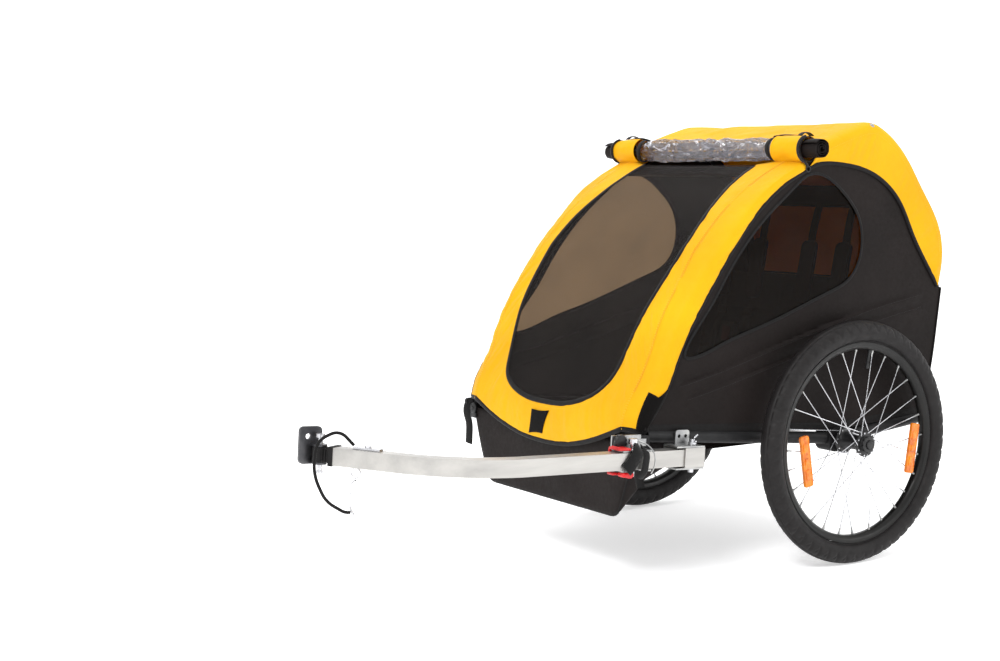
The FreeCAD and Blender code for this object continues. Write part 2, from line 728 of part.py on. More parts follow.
def build_tow():
    save("rear_bracket", rear_bracket())
    save("pivot_pin", pivot_pin())
    save("tow_swivel", tow_swivel())
    save("tow_bar", tow_bar())
    save("front_bracket", front_bracket())
    save("lock_pin", lock_pin())
    save("latch_clip", latch_clip())
    save("flex_joint", flex_joint())
    save("hitch_pin", hitch_pin())
    save("hitch_plate", hitch_plate())
    save("snap_hook", snap_hook(), hook_body())
    save("strap_anchor", strap_anchor())
    save("safety_strap", safety_strap())


os.makedirs("parts", exist_ok=True)
build_wheel(-1, "left")
build_wheel(1, "right")
build_frame()
build_body()
build_roll()
build_seat()
build_tow()
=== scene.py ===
import json
import math
import bmesh
import bpy
import numpy as np
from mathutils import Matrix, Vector, noise


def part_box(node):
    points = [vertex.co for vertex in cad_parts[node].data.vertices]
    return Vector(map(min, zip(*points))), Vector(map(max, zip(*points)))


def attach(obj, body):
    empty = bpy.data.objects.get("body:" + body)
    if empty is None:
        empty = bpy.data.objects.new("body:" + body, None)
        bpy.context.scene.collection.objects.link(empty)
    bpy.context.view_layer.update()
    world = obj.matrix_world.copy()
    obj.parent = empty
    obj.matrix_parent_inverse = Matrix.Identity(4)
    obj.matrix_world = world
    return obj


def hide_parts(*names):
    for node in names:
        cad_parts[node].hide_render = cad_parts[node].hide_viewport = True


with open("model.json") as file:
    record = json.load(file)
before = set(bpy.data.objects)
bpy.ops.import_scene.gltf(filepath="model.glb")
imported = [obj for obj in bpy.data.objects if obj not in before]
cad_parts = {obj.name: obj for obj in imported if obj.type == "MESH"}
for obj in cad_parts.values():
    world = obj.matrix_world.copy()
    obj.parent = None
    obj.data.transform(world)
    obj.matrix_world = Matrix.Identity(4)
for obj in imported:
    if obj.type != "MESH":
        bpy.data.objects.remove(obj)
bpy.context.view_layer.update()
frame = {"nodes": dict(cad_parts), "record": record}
NODES = frame["nodes"]
SCENE = bpy.context.scene

# Shapes are worked out in millimetres about the ground point below the wheel axles,
# +Z up and the front towards -X, and placed by SHIFT.
LOW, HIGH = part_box("tyre_left")
SHIFT = np.array([(LOW[0] + HIGH[0]) / 2, 0.0, 0.0])
SIDES = {"left": -1, "right": 1}

# ---- the outlines that the cover follows, in the XZ plane, front to back ----
ARCH = [(-517, 324), (-478, 393), (-430, 499), (-365, 598), (-312, 669), (-250, 741), (-196, 785), (-131, 820)]
BACK = [(-76, 850), (-20, 874), (50, 896), (90, 902), (130, 886), (187, 839), (242, 766), (294, 688), (308, 622),
        (297, 556)]
CARGO = [(297, 553), (287, 481), (273, 391), (247, 290)]
FRONT_EDGE = [(-502, 318), (-459, 374), (-422, 453), (-354, 564), (-284, 660), (-213, 736), (-140, 786)]
REAR_EDGE = [(-83, 812), (-5, 816), (46, 808), (95, 791), (166, 734), (203, 671), (259, 590), (284, 556)]
WINDOW = [(-402, 442), (-351, 534), (-311, 591), (-261, 656), (-199, 717), (-137, 766), (-84, 797), (-42, 789),
          (12, 751), (47, 709), (58, 668), (53, 623), (28, 584), (-33, 555), (-120, 525), (-216, 494), (-309, 467),
          (-385, 443)]
ROLL = np.array([-103.5, 0.0, 846.0])   # the rolled shield's axis
WHEEL_Y = 352.0
TYRE_R = 250.0
REFLECTOR_R = 150.8
ROLL_CLEAR = 29.0
SEWN = 0.05             # cloth edges closer than this are joined


# ---- small geometry kit ----
def place(points):
    return np.asarray(points, float) * 0.001 + SHIFT


def smooth_line(points, count, closed=False):
    """count points evenly spaced along a natural cubic spline through the given ones."""
    p = np.asarray(points, float)
    if closed:
        p = np.vstack([p[-3:], p, p[:4]])
    t = np.r_[0, np.cumsum(np.linalg.norm(np.diff(p, axis=0), axis=1))]
    n = len(p)
    h = np.diff(t)
    a = np.eye(n)
    b = np.zeros_like(p)
    for i in range(1, n - 1):
        a[i, i - 1:i + 2] = h[i - 1], 2 * (h[i - 1] + h[i]), h[i]
        b[i] = 6 * ((p[i + 1] - p[i]) / h[i] - (p[i] - p[i - 1]) / h[i - 1])
    m = np.linalg.solve(a, b)
    lo, hi = (t[3], t[-4]) if closed else (0, t[-1])
    s = np.linspace(lo, hi, 1200)
    k = np.clip(np.searchsorted(t, s, side="right") - 1, 0, n - 2)
    u = (s - t[k])[:, None]
    d = h[k][:, None]
    line = ((1 - u / d) * p[k] + u / d * p[k + 1]
            + ((d - u) ** 3 / d - d * (d - u)) / 6 * m[k] + (u ** 3 / d - d * u) / 6 * m[k + 1])
    return even(line, count, closed)


def even(line, count, closed=False):
    """count points evenly spaced along a polyline."""
    line = np.asarray(line, float)
    t = np.r_[0, np.cumsum(np.linalg.norm(np.diff(line, axis=0), axis=1))]
    s = np.linspace(0, t[-1], count + 1 if closed else count)[:count]
    return np.stack([np.interp(s, t, line[:, i]) for i in range(line.shape[1])], 1)


def directions(line, closed=False):
    line = np.asarray(line, float)
    if closed:
        d = np.roll(line, -1, 0) - np.roll(line, 1, 0)
    else:
        d = np.gradient(line, axis=0)
    return d / np.maximum(np.linalg.norm(d, axis=1, keepdims=True), 1e-9)


def unit(v):
    v = np.asarray(v, float)
    return v / np.linalg.norm(v)


def xyz(x, y, z):
    """Points from their three coordinates, each a number or an array."""
    return np.stack(np.broadcast_arrays(x, y, z), -1).astype(float)


def xz(line, y):
    line = np.asarray(line, float)
    return xyz(line[:, 0], y, line[:, 1])


def turn(count):
    """Angles evenly spaced round a whole turn."""
    return np.linspace(0, 2 * math.pi, count, endpoint=False)


def circle(radius, count):
    return radius * np.stack([np.cos(turn(count)), np.sin(turn(count))], 1)


def shrink(outline, inset):
    """An outline about the origin, every point moved inwards by inset."""
    return outline * (1 - inset / np.linalg.norm(outline, axis=1, keepdims=True))


def wobble(p, size, seed=0.0):
    """Smooth noise from -1 to 1 at a point in millimetres, with the given wavelength."""
    return noise.noise(Vector((p[0] / size + seed, p[1] / size - seed, p[2] / size + 2 * seed)))


class Shape:
    """Vertices and faces gathered into one mesh."""

    def __init__(self):
        self.verts, self.faces, self.mats = [], [], []

    def add(self, verts, faces, mat=0):
        start = len(self.verts)
        self.verts += [tuple(map(float, v)) for v in verts]
        self.faces += [tuple(i + start for i in f) for f in faces]
        self.mats += [mat] * len(faces)
        return start

    def grid(self, pts, mat=0, close_u=False, close_v=False):
        """A quad sheet from an array of rows of points."""
        pts = np.asarray(pts, float)
        n, m = pts.shape[:2]
        faces = []
        for i in range(n if close_u else n - 1):
            for j in range(m if close_v else m - 1):
                a, b = i * m + j, i * m + (j + 1) % m
                c, d = ((i + 1) % n) * m + (j + 1) % m, ((i + 1) % n) * m + j
                faces.append((a, b, c, d))
        return self.add(pts.reshape(-1, 3), faces, mat)

    def cap(self, start, count, mat=0, back=False):
        """One face over a closed row of points."""
        row = tuple(range(start, start + count))
        self.faces.append(row[::-1] if back else row)
        self.mats.append(mat)

    def ends(self, start, rows, count, mat=0):
        """Caps over the first and the last row of a grid."""
        self.cap(start, count, mat, True)
        self.cap(start + (rows - 1) * count, count, mat)

    def sweep(self, path, section, up=(0, 0, 1), closed=False, mat=0):
        """A closed (side, up) outline carried along a line. up is a direction, or one for each point."""
        path = np.asarray(path, float)
        t = directions(path, closed)
        up = np.broadcast_to(np.asarray(up, float), path.shape)
        side = np.cross(t, up)
        side /= np.maximum(np.linalg.norm(side, axis=1, keepdims=True), 1e-9)
        real_up = np.cross(side, t)
        section = np.asarray(section, float)
        rows = path[:, None] + side[:, None] * section[None, :, :1] + real_up[:, None] * section[None, :, 1:]
        start = self.grid(rows, mat, close_u=closed, close_v=True)
        if not closed:
            self.ends(start, len(path), len(section), mat)

    def tube(self, path, radius, mat=0, closed=False):
        """A round rod along a line, its section turned without twist."""
        path = np.asarray(path, float)
        t = directions(path, closed)
        up = np.zeros_like(path)
        up[0] = unit(np.cross(t[0], (0.31, 0.52, 0.79)))
        for i in range(1, len(path)):
            up[i] = unit(up[i - 1] - t[i] * np.dot(up[i - 1], t[i]))
        self.sweep(path, circle(radius, 8), up, closed, mat)

    def spin(self, profile, centre, axis, count, closed=True):
        """A (radius, height) outline turned about an axis."""
        axis = unit(axis)
        a = unit(np.cross(axis, (0.0, 0.0, 1.0) if abs(axis[2]) < 0.9 else (1.0, 0.0, 0.0)))
        b = np.cross(axis, a)
        angle = turn(count)
        profile = np.asarray(profile, float)
        rows = (np.asarray(centre, float) + profile[None, :, 1:] * axis
                + profile[None, :, :1] * (np.cos(angle)[:, None, None] * a + np.sin(angle)[:, None, None] * b))
        self.grid(rows, close_u=True, close_v=closed)

    def slab(self, centre, size, axes=None, bevel=1.0, mat=0):
        """A block with rounded edges: a superellipse in plan, domed at both ends."""
        axes = np.eye(3) if axes is None else np.asarray(axes, float)
        hx, hy, hz = np.asarray(size, float) / 2
        rows = []
        for lift, inset in ((-hz, bevel), (-hz + 0.3 * bevel, 0.3 * bevel), (-hz + bevel, 0), (hz - bevel, 0),
                            (hz - 0.3 * bevel, 0.3 * bevel), (hz, bevel)):
            flat = corner_outline(hx - inset, hy - inset, max(bevel, 0.2))
            rows.append(np.asarray(centre) + flat[:, :1] * axes[0] + flat[:, 1:] * axes[1] + lift * axes[2])
        rows = np.array(rows)
        self.ends(self.grid(rows, mat, close_v=True), len(rows), rows.shape[1], mat)

    def make(self, name, materials, body, slot, replaces=(), flat=False, weld=0.0, thick=0.0):
        """The finished piece, riding on its body. materials holds their keys with spaces between."""
        mesh = bpy.data.meshes.new(name)
        mesh.from_pydata(place(self.verts).tolist(), [], self.faces)
        mesh.polygons.foreach_set("material_index", self.mats)
        obj = bpy.data.objects.new(name, mesh)
        SCENE.collection.objects.link(obj)
        for key in materials.split():
            mesh.materials.append(MAT[key])
        tidy_mesh(mesh, weld * 0.001)
        if not flat:
            mesh.polygons.foreach_set("use_smooth", [True] * len(mesh.polygons))
            mesh.set_sharp_from_angle(angle=math.radians(38))
        if thick:
            solid = obj.modifiers.new("thickness", "SOLIDIFY")
            solid.thickness = thick * 0.001
            solid.offset = 0.0
            solid.use_even_offset = False
        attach(obj, body)
        if replaces:
            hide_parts(*replaces)
        return obj


def tidy_mesh(mesh, weld=0.0):
    """Joins points closer than weld metres and turns every face outwards."""
    bm = bmesh.new()
    bm.from_mesh(mesh)
    if weld:
        bmesh.ops.remove_doubles(bm, verts=bm.verts, dist=weld)
    bmesh.ops.recalc_face_normals(bm, faces=bm.faces)
    bm.to_mesh(mesh)
    bm.free()
    mesh.update()


def corner_outline(hx, hy, radius, per_corner=4):
    """A rectangle with rounded corners."""
    radius = min(radius, 0.98 * hx, 0.98 * hy)
    pts = []
    for k, (sx, sy) in enumerate(((1, 1), (-1, 1), (-1, -1), (1, -1))):
        for i in range(per_corner + 1):
            t = math.pi / 2 * (k + i / per_corner)
            pts.append((sx * (hx - radius) + radius * math.cos(t), sy * (hy - radius) + radius * math.sin(t)))
    return np.array(pts)


# ---- materials ----
def linear(rgb):
    return tuple((c / 255 / 12.92) if c <= 10 else ((c / 255 + 0.055) / 1.055) ** 2.4 for c in rgb) + (1.0,)


class Nodes:
    """A material's node tree, with its Principled shader and object coordinates."""

    def __init__(self, name):
        self.mat = bpy.data.materials.new(name)
        self.mat.use_nodes = True
        self.tree = self.mat.node_tree
        self.shader = self.tree.nodes["Principled BSDF"]
        self.coords = self.new("TexCoord").outputs["Object"]
        self.normal = None

    def new(self, kind, **values):
        node = self.tree.nodes.new("ShaderNode" + kind)
        for key, value in values.items():
            if hasattr(node, key):
                setattr(node, key, value)
            else:
                node.inputs[key].default_value = value
        return node

    def link(self, a, b):
        self.tree.links.new(a, b)
        return b.node

    def math(self, operation, a, b=None, clamp=False):
        node = self.new("Math", operation=operation, use_clamp=clamp)
        for socket, value in zip(node.inputs, (a, b)):
            if value is None:
                continue
            if isinstance(value, (int, float)):
                socket.default_value = value
            else:
                self.link(value, socket)
        return node.outputs[0]

    def stretched(self, stretch):
        mapping = self.new("Mapping")
        mapping.inputs["Scale"].default_value = stretch
        self.link(self.coords, mapping.inputs["Vector"])
        return mapping.outputs["Vector"]

    def noise(self, scale, detail=3.0, stretch=None, distortion=0.0):
        node = self.new("TexNoise", Scale=scale, Detail=detail, Roughness=0.55, Distortion=distortion)
        self.link(self.stretched(stretch) if stretch else self.coords, node.inputs["Vector"])
        return node.outputs["Fac"]

    def span(self, value, low, high, out_low=0.0, out_high=1.0):
        node = self.new("MapRange")
        for key, v in (("From Min", low), ("From Max", high), ("To Min", out_low), ("To Max", out_high)):
            node.inputs[key].default_value = v
        self.link(value, node.inputs["Value"])
        return node.outputs["Result"]

    def mix(self, factor, a, b):
        node = self.new("Mix", data_type="RGBA")
        ins = [s for s in node.inputs if s.type == "RGBA"]
        for socket, value in zip(ins, (a, b)):
            if isinstance(value, tuple):
                socket.default_value = value
            else:
                self.link(value, socket)
        self.link(factor, node.inputs["Factor"])
        return next(s for s in node.outputs if s.type == "RGBA")

    def bump(self, height, distance, strength=1.0):
        node = self.new("Bump", Strength=strength, Distance=distance)
        self.link(height, node.inputs["Height"])
        if self.normal:
            self.link(self.normal, node.inputs["Normal"])
        self.normal = node.outputs["Normal"]
        self.link(self.normal, self.shader.inputs["Normal"])

    def round_edges(self, radius):
        node = self.new("Bevel", samples=4)
        node.inputs["Radius"].default_value = radius
        self.normal = node.outputs["Normal"]
        self.link(self.normal, self.shader.inputs["Normal"])

    def weave(self, pitch):
        """A plain weave's height on any plane, threads pitch metres apart."""
        axes = self.new("SeparateXYZ")
        self.link(self.coords, axes.inputs[0])
        waves = [self.math("SINE", self.math("MULTIPLY", axes.outputs[i], 2 * math.pi / pitch)) for i in range(3)]
        total = self.math("MULTIPLY", waves[0], waves[1])
        for a, b in ((1, 2), (0, 2)):
            total = self.math("ADD", total, self.math("MULTIPLY", waves[a], waves[b]))
        return self.span(total, -1.5, 1.5)

    def fresnel(self, ior):
        node = self.new("Fresnel", IOR=ior)
        self.link(self.normal, node.inputs["Normal"])
        return node.outputs[0]

    def colour(self, base, other, scale, stretch=None):
        """Patches of two colours, given as 0 to 255."""
        share = self.span(self.noise(scale, 4.0, stretch=stretch), 0.35, 0.65)
        self.link(self.mix(share, linear(base), linear(other)), self.shader.inputs["Base Color"])

    def rough(self, low, high, scale=60.0, stretch=None):
        self.link(self.span(self.noise(scale, 4.0, stretch=stretch), 0.3, 0.7, low, high),
                  self.shader.inputs["Roughness"])

    def set(self, **values):
        for key, value in values.items():
            self.shader.inputs[key.replace("_", " ")].default_value = value

    def blend(self, share, other, over=True):
        """Mixes the shader with another one; share is a number or a socket."""
        mix = self.new("MixShader")
        if isinstance(share, float):
            mix.inputs[0].default_value = share
        else:
            self.link(share, mix.inputs[0])
        out = next(x for x in self.tree.nodes if x.type == "OUTPUT_MATERIAL")
        pair = (other, self.shader) if over else (self.shader, other)
        for node, socket in zip(pair, mix.inputs[1:]):
            self.link(node.outputs[0], socket)
        self.link(mix.outputs[0], out.inputs["Surface"])


def cloth(name, base, other, pitch, rough, sheen, crumple, crumple_scale, shine, weave):
    n = Nodes(name)
    n.colour(base, other, 5.0)
    n.rough(rough - 0.06, rough + 0.08, 140.0)
    n.set(Sheen_Weight=sheen, Sheen_Roughness=0.45, Specular_IOR_Level=shine)
    n.bump(n.noise(crumple_scale, 3.0, distortion=0.4), crumple)
    n.bump(n.weave(pitch), pitch * weave, 0.6)
    return n


def plastic(name, base, other, low, high, grain, grain_scale, edges, shine):
    n = Nodes(name)
    n.set(Specular_IOR_Level=shine)
    n.round_edges(edges)
    n.colour(base, other, 40.0)
    n.rough(low, high, 90.0)
    n.bump(n.noise(grain_scale, 2.0), grain)
    return n


def metal(name, base, other, low, high, stretch=None):
    n = Nodes(name)
    n.round_edges(0.0006)
    n.colour(base, other, 30.0, stretch)
    n.rough(low, high, 260.0, stretch)
    n.set(Metallic=1.0)
    n.bump(n.noise(700.0, 3.0, stretch), 0.00003)
    return n


def through(n, tint, share):
    """Lets part of the light straight through, tinted."""
    clear = n.new("BsdfTransparent")
    clear.inputs["Color"].default_value = tint
    n.blend(share, clear)


def glow(n, rgb, share):
    """Cloth that lets some of the light behind it shine through."""
    back = n.new("BsdfTranslucent")
    back.inputs["Color"].default_value = linear(rgb)
    n.link(n.normal, back.inputs["Normal"])
    n.blend(share, back, over=False)


# name, two colours, thread pitch, roughness, sheen, crumple depth and scale, shine, depth of the weave
CLOTHS = {
    "cloth_yellow": ("yellow_cloth", (224, 167, 8), (213, 155, 5), 0.0009, 0.6, 0.02, 0.0034, 17.0, 0.14, 0.09),
    "cloth_black": ("black_cloth", (27, 22, 21), (21, 17, 16), 0.0009, 0.6, 0.0, 0.0014, 16.0, 0.1, 0.09),
    "cloth_charcoal": ("charcoal_cloth", (24, 20, 18), (19, 16, 14), 0.0008, 0.55, 0.0, 0.0009, 22.0, 0.1, 0.09),
    "piping": ("black_binding", (19, 17, 17), (13, 12, 12), 0.0006, 0.6, 0.05, 0.0004, 120.0, 0.12, 0.09),
    "webbing_black": ("black_webbing", (21, 20, 20), (13, 13, 13), 0.0016, 0.6, 0.08, 0.0003, 150.0, 0.12, 0.09),
    "elastic": ("elastic_cord", (22, 21, 21), (13, 13, 13), 0.0007, 0.6, 0.2, 0.0002, 300.0, 0.2, 0.09),
    "seat_cloth": ("seat_cloth", (24, 22, 22), (18, 16, 17), 0.0012, 0.8, 0.04, 0.0006, 60.0, 0.05, 0.04),
    "loop_patch": ("loop_patch", (18, 16, 15), (12, 11, 11), 0.0011, 0.9, 0.03, 0.0008, 500.0, 0.06, 0.09),
    "thread_yellow": ("yellow_thread", (250, 188, 40), (240, 176, 30), 0.0007, 0.6, 0.2, 0.0001, 400.0, 0.2, 0.09),
    "thread_black": ("black_thread", (34, 33, 34), (24, 23, 24), 0.0007, 0.55, 0.2, 0.0001, 400.0, 0.2, 0.09),
    "mesh_black": ("mesh_cloth", (34, 30, 28), (26, 23, 22), 0.0011, 0.7, 0.0, 0.0003, 60.0, 0.1, 0.09),
}
# name, two colours, roughness from and to, grain depth and scale, edge radius, shine
PLASTICS = {
    "frame_black": ("frame_enamel", (26, 26, 27), (20, 20, 21), 0.42, 0.55, 0.00005, 1400.0, 0.0006, 0.22),
    "buckle_plastic": ("buckle_plastic", (20, 20, 21), (14, 14, 15), 0.38, 0.5, 0.00008, 900.0, 0.0006, 0.4),
    "button_plastic": ("button_plastic", (70, 18, 15), (54, 13, 11), 0.3, 0.42, 0.00008, 900.0, 0.0006, 0.4),
    "cap_plastic": ("cap_plastic", (26, 26, 27), (18, 18, 19), 0.32, 0.48, 0.00008, 900.0, 0.0006, 0.4),
    "hub_black": ("hub_anodised", (24, 24, 25), (17, 17, 18), 0.28, 0.42, 0.00003, 900.0, 0.0006, 0.4),
    "rubber_black": ("moulded_rubber", (22, 21, 21), (16, 15, 15), 0.55, 0.7, 0.0001, 700.0, 0.0006, 0.2),
    "latch_red": ("red_plastic", (196, 18, 22), (172, 12, 16), 0.3, 0.42, 0.00008, 900.0, 0.0006, 0.4),
    "tyre_rubber": ("tyre_rubber", (28, 26, 26), (21, 19, 19), 0.5, 0.68, 0.00012, 1100.0, 0.0005, 0.2),
    "rim_black": ("rim_anodised", (18, 17, 16), (12, 12, 11), 0.28, 0.42, 0.00003, 900.0, 0.0006, 0.25),
}
# name, two colours, roughness from and to, and how the grain is stretched
METALS = {
    "bar_aluminium": ("bar_aluminium", (184, 182, 178), (167, 165, 162), 0.36, 0.5, (0.06, 1.0, 1.0)),
    "steel_bright": ("steel_bright", (205, 205, 208), (180, 181, 185), 0.18, 0.34),
    "zinc_steel": ("zinc_steel", (178, 178, 176), (146, 147, 148), 0.3, 0.5),
    "hitch_steel": ("hitch_steel", (96, 96, 98), (70, 70, 73), 0.32, 0.5),
}


def make_materials():
    m = {}
    for kind, table in ((cloth, CLOTHS), (plastic, PLASTICS), (metal, METALS)):
        m.update((key, kind(*values)) for key, values in table.items())
    glow(m["cloth_yellow"], (255, 170, 14), 0.1)
    ribbed = m["webbing_black"]
    ribbed.bump(ribbed.weave(0.0032), 0.0004, 0.8)
    mesh = m["mesh_black"]
    through(mesh, (1.0, 1.0, 1.0, 1.0), mesh.span(mesh.noise(9.0), 0.3, 0.7, 0.6, 0.68))

    tint = m["window_tint"] = Nodes("window_tint")
    tint.colour((30, 20, 12), (22, 15, 10), 3.0)
    tint.rough(0.06, 0.14, 12.0)
    tint.set(Specular_IOR_Level=0.5, IOR=1.49)
    tint.bump(tint.noise(7.0, 2.0), 0.0012)
    through(tint, (0.36, 0.235, 0.13, 1.0), tint.math("ADD", tint.fresnel(1.45), 0.12))

    vinyl = m["vinyl_clear"] = Nodes("clear_vinyl")
    vinyl.colour((244, 244, 248), (222, 222, 230), 30.0)
    vinyl.rough(0.05, 0.14, 30.0)
    vinyl.set(Metallic=0.9)
    vinyl.bump(vinyl.noise(42.0, 4.0, (1.0, 0.3, 1.0), 1.5), 0.012)
    vinyl.bump(vinyl.noise(120.0, 2.0, (1.0, 0.5, 1.0), 0.8), 0.003)
    # painted highlights: noise streaks where the white mirror shader takes over from the clear one, standing in for
    # glints on the crinkles
    painted_glints = vinyl.span(vinyl.noise(55.0, 3.0, (1.0, 0.3, 1.0), 2.0), 0.54, 0.66, 0.0, 0.55)
    share = vinyl.math("ADD", vinyl.math("MULTIPLY", vinyl.fresnel(1.5), 0.9), painted_glints, True)
    through(vinyl, (0.97, 0.965, 0.96, 1.0), share)

    amber = m["amber"] = Nodes("amber_reflector")
    amber.colour((226, 128, 5), (190, 92, 3), 60.0)
    cells = amber.new("TexVoronoi", Scale=330.0)
    amber.link(amber.coords, cells.inputs["Vector"])
    amber.bump(cells.outputs["Distance"], 0.0012, 0.8)
    amber.rough(0.12, 0.24)
    amber.set(Specular_IOR_Level=0.35, Coat_Weight=0.25, Coat_Roughness=0.08)

    floor = m["floor"] = Nodes("pale_floor")
    floor.colour((250, 250, 250), (247, 247, 248), 1.5)
    floor.rough(0.75, 0.85, 20.0)
    floor.set(Specular_IOR_Level=0.1, Emission_Color=(1.0, 1.0, 1.0, 1.0), Emission_Strength=0.42)
    return {key: n.mat for key, n in m.items()}


MAT = make_materials()


# ---- camera, floor and light ----
def make_stage():
    cam = bpy.data.objects.new("camera", bpy.data.cameras.new("camera"))
    SCENE.collection.objects.link(cam)
    forward = Vector((0.5428, 0.8343, -0.0974))
    cam.location = (-2.0378, -2.7922, 0.8106)
    cam.rotation_euler = forward.to_track_quat("-Z", "Y").to_euler()
    cam.data.lens = 60.23
    cam.data.sensor_width = 36.0
    SCENE.camera = cam

    # the floor runs back and turns up into a wall far behind
    profile = [(-14.0, 0.0), (-7.0, 0.0), (7.0, 0.0)]
    profile += [(7 + 3 * math.sin(t), 3 - 3 * math.cos(t)) for t in np.linspace(0.15, math.pi / 2, 10)]
    profile += [(10.0, 9.0)]
    back = Vector((forward.x, forward.y, 0)).normalized()
    across = Vector((back.y, -back.x, 0))
    verts, faces = [], []
    for s in (-16.0, 16.0):
        verts += [tuple(back * d + across * s + Vector((0, 0, z))) for d, z in profile]
    n = len(profile)
    faces = [(i, i + 1, n + i + 1, n + i) for i in range(n - 1)]
    mesh = bpy.data.meshes.new("floor")
    mesh.from_pydata(verts, [], faces)
    mesh.materials.append(MAT["floor"])
    mesh.polygons.foreach_set("use_smooth", [True] * len(faces))
    floor = bpy.data.objects.new("floor", mesh)
    SCENE.collection.objects.link(floor)

    world = bpy.data.worlds.new("studio")
    world.use_nodes = True
    world.node_tree.nodes["Background"].inputs["Color"].default_value = (1.0, 1.0, 1.0, 1.0)
    world.node_tree.nodes["Background"].inputs["Strength"].default_value = 1.0
    SCENE.world = world
    for name, at, look, size, power in (
            ("key", (-3.0, -2.2, 3.3), (0.1, 0.0, 0.5), 1.3, 120),
            ("top", (0.6, 0.3, 3.6), (0.1, 0.0, 0.5), 3.0, 60),
            ("fill", (3.0, -3.0, 1.8), (0.2, 0.0, 0.4), 2.0, 35)):
        light = bpy.data.objects.new(name, bpy.data.lights.new(name, "AREA"))
        SCENE.collection.objects.link(light)
        light.location = at
        light.rotation_euler = (Vector(look) - Vector(at)).to_track_quat("-Z", "Y").to_euler()
        light.data.shape = "DISK"
        light.data.size = size
        light.data.energy = power
    SCENE.view_settings.view_transform = "Standard"


make_stage()

# every CAD node that stays takes its slot's finish
for entry in frame["record"]["subparts"]:
    data = NODES[entry["node"]].data
    data.materials.clear()
    data.materials.append(MAT[entry["material_slot"]])


# ---- the front cover's surface ----
# Its cross-section is nearly flat between two seams, then turns over a rounded shoulder
# into a narrow strip down each side. Heights are measured square to the arch.
FRONT = smooth_line([(-520, 236), (-521.5, 280)] + ARCH + [(-112, 829)], 500)
FRONT_N = directions(FRONT)[:, ::-1] * (-1, 1)
CROWN_Z = [236, 324, 361, 442, 577, 632, 693, 743, 785, 829]
CROWN = [9, 14, 18, 22, 22, 22, 12, 1, -5, -6]
SEAM_Z = [236, 324, 378, 450, 560, 640, 720, 829]
SEAM_Y = [262, 262, 264, 269, 264, 254, 250, 254]
OPENING = [(0, 329), (60, 331), (110, 340), (150, 355), (173, 373), (187, 400), (197, 442), (208, 504), (217, 577),
           (221, 632), (214, 693), (202, 743), (192, 785), (187, 820)]
OPEN_LINE = smooth_line(OPENING, 300)
HEM = [(0, 253), (75, 257), (150, 272), (213, 292), (262, 310)]
HEM_LINE = smooth_line([(-75, 257)] + HEM, 300)
SHOULDER = 304.0          # half width at the strip
STRIP_EDGE = smooth_line(FRONT_EDGE + [(-101, 804)], 300)


def front_base(z):
    """The arch's point and outward direction at a height."""
    z = np.clip(z, FRONT[0, 1], FRONT[-1, 1])
    p = np.stack([np.interp(z, FRONT[:, 1], FRONT[:, 0]), z], -1)
    n = np.stack([np.interp(z, FRONT[:, 1], FRONT_N[:, i]) for i in (0, 1)], -1)
    return p, n


def seam_y(z):
    return np.interp(z, SEAM_Z, SEAM_Y)


def front_point(y, z, out=0.0):
    """A point of the front surface between the seams."""
    y, z = np.broadcast_arrays(np.asarray(y, float), np.asarray(z, float))
    p, n = front_base(z)
    height = np.interp(z, CROWN_Z, CROWN) * (1 - 0.2 * (y / 262) ** 2) + out
    q = p + n * height[..., None]
    return xyz(q[..., 0], y, q[..., 1])


def front_normal(z):
    n = front_base(z)[1]
    return xyz(n[..., 0], 0.0, n[..., 1])


def shoulder_rows(z, share, side):
    """Rows of points from the seam over the shoulder and down the side strip; share is each row's place up the
    strip's edge, from 0 to 1."""
    p, n = front_base(z)
    start_y = seam_y(z)
    start_h = np.interp(z, CROWN_Z, CROWN) * 0.8
    end_h = -13.0
    corners = [(start_y, start_h), (start_y + 0.62 * (SHOULDER - start_y), start_h - 5.0),
               (SHOULDER, np.maximum(start_h - 14, end_h + 8)), (SHOULDER, end_h)]
    edge = np.stack([np.interp(share, np.linspace(0, 1, len(STRIP_EDGE)), STRIP_EDGE[:, i]) for i in (0, 1)], -1)
    rows = []
    for t in np.linspace(0, 1, 9):
        w = ((1 - t) ** 3, 3 * t * (1 - t) ** 2, 3 * t * t * (1 - t), t ** 3)
        y = sum(a * c[0] for a, c in zip(w, corners))
        h = sum(a * c[1] for a, c in zip(w, corners))
        q = p + n * h[:, None]
        rows.append(xyz(q[:, 0], side * y, q[:, 1]))
    low = rows[-1][:, [0, 2]]
    for t in np.linspace(0, 1, 7)[1:]:
        q = low + (edge - low) * t
        belly = 1.6 * math.sin(math.pi * t)
        rows.append(xyz(q[:, 0], side * (SHOULDER + belly), q[:, 1]))
    return rows


def pucker(points, normals, fade, size=(26.0, 90.0), depth=1.4, seed=3.0, along=None):
    """Soft wrinkles across a strip of cloth; fade is 0 where the cloth is held."""
    out = points.copy()
    flat = out.reshape(-1, 3)
    n = np.broadcast_to(normals, points.shape).reshape(-1, 3)
    fade = np.broadcast_to(fade, points.shape[:-1]).reshape(-1)
    for i, p in enumerate(flat):
        a = along.reshape(-1)[i] if along is not None else p[2]
        w = wobble((a, 0, p[1] * size[0] / size[1]), size[0], seed)
        w += 0.5 * wobble((a, 0, p[1] * 0.6), size[0] * 0.45, seed + 7)
        w += 0.9 * wobble(p, 120.0, seed + 3)
        flat[i] = p + n[i] * (depth * fade[i] * w)
    return flat.reshape(points.shape)


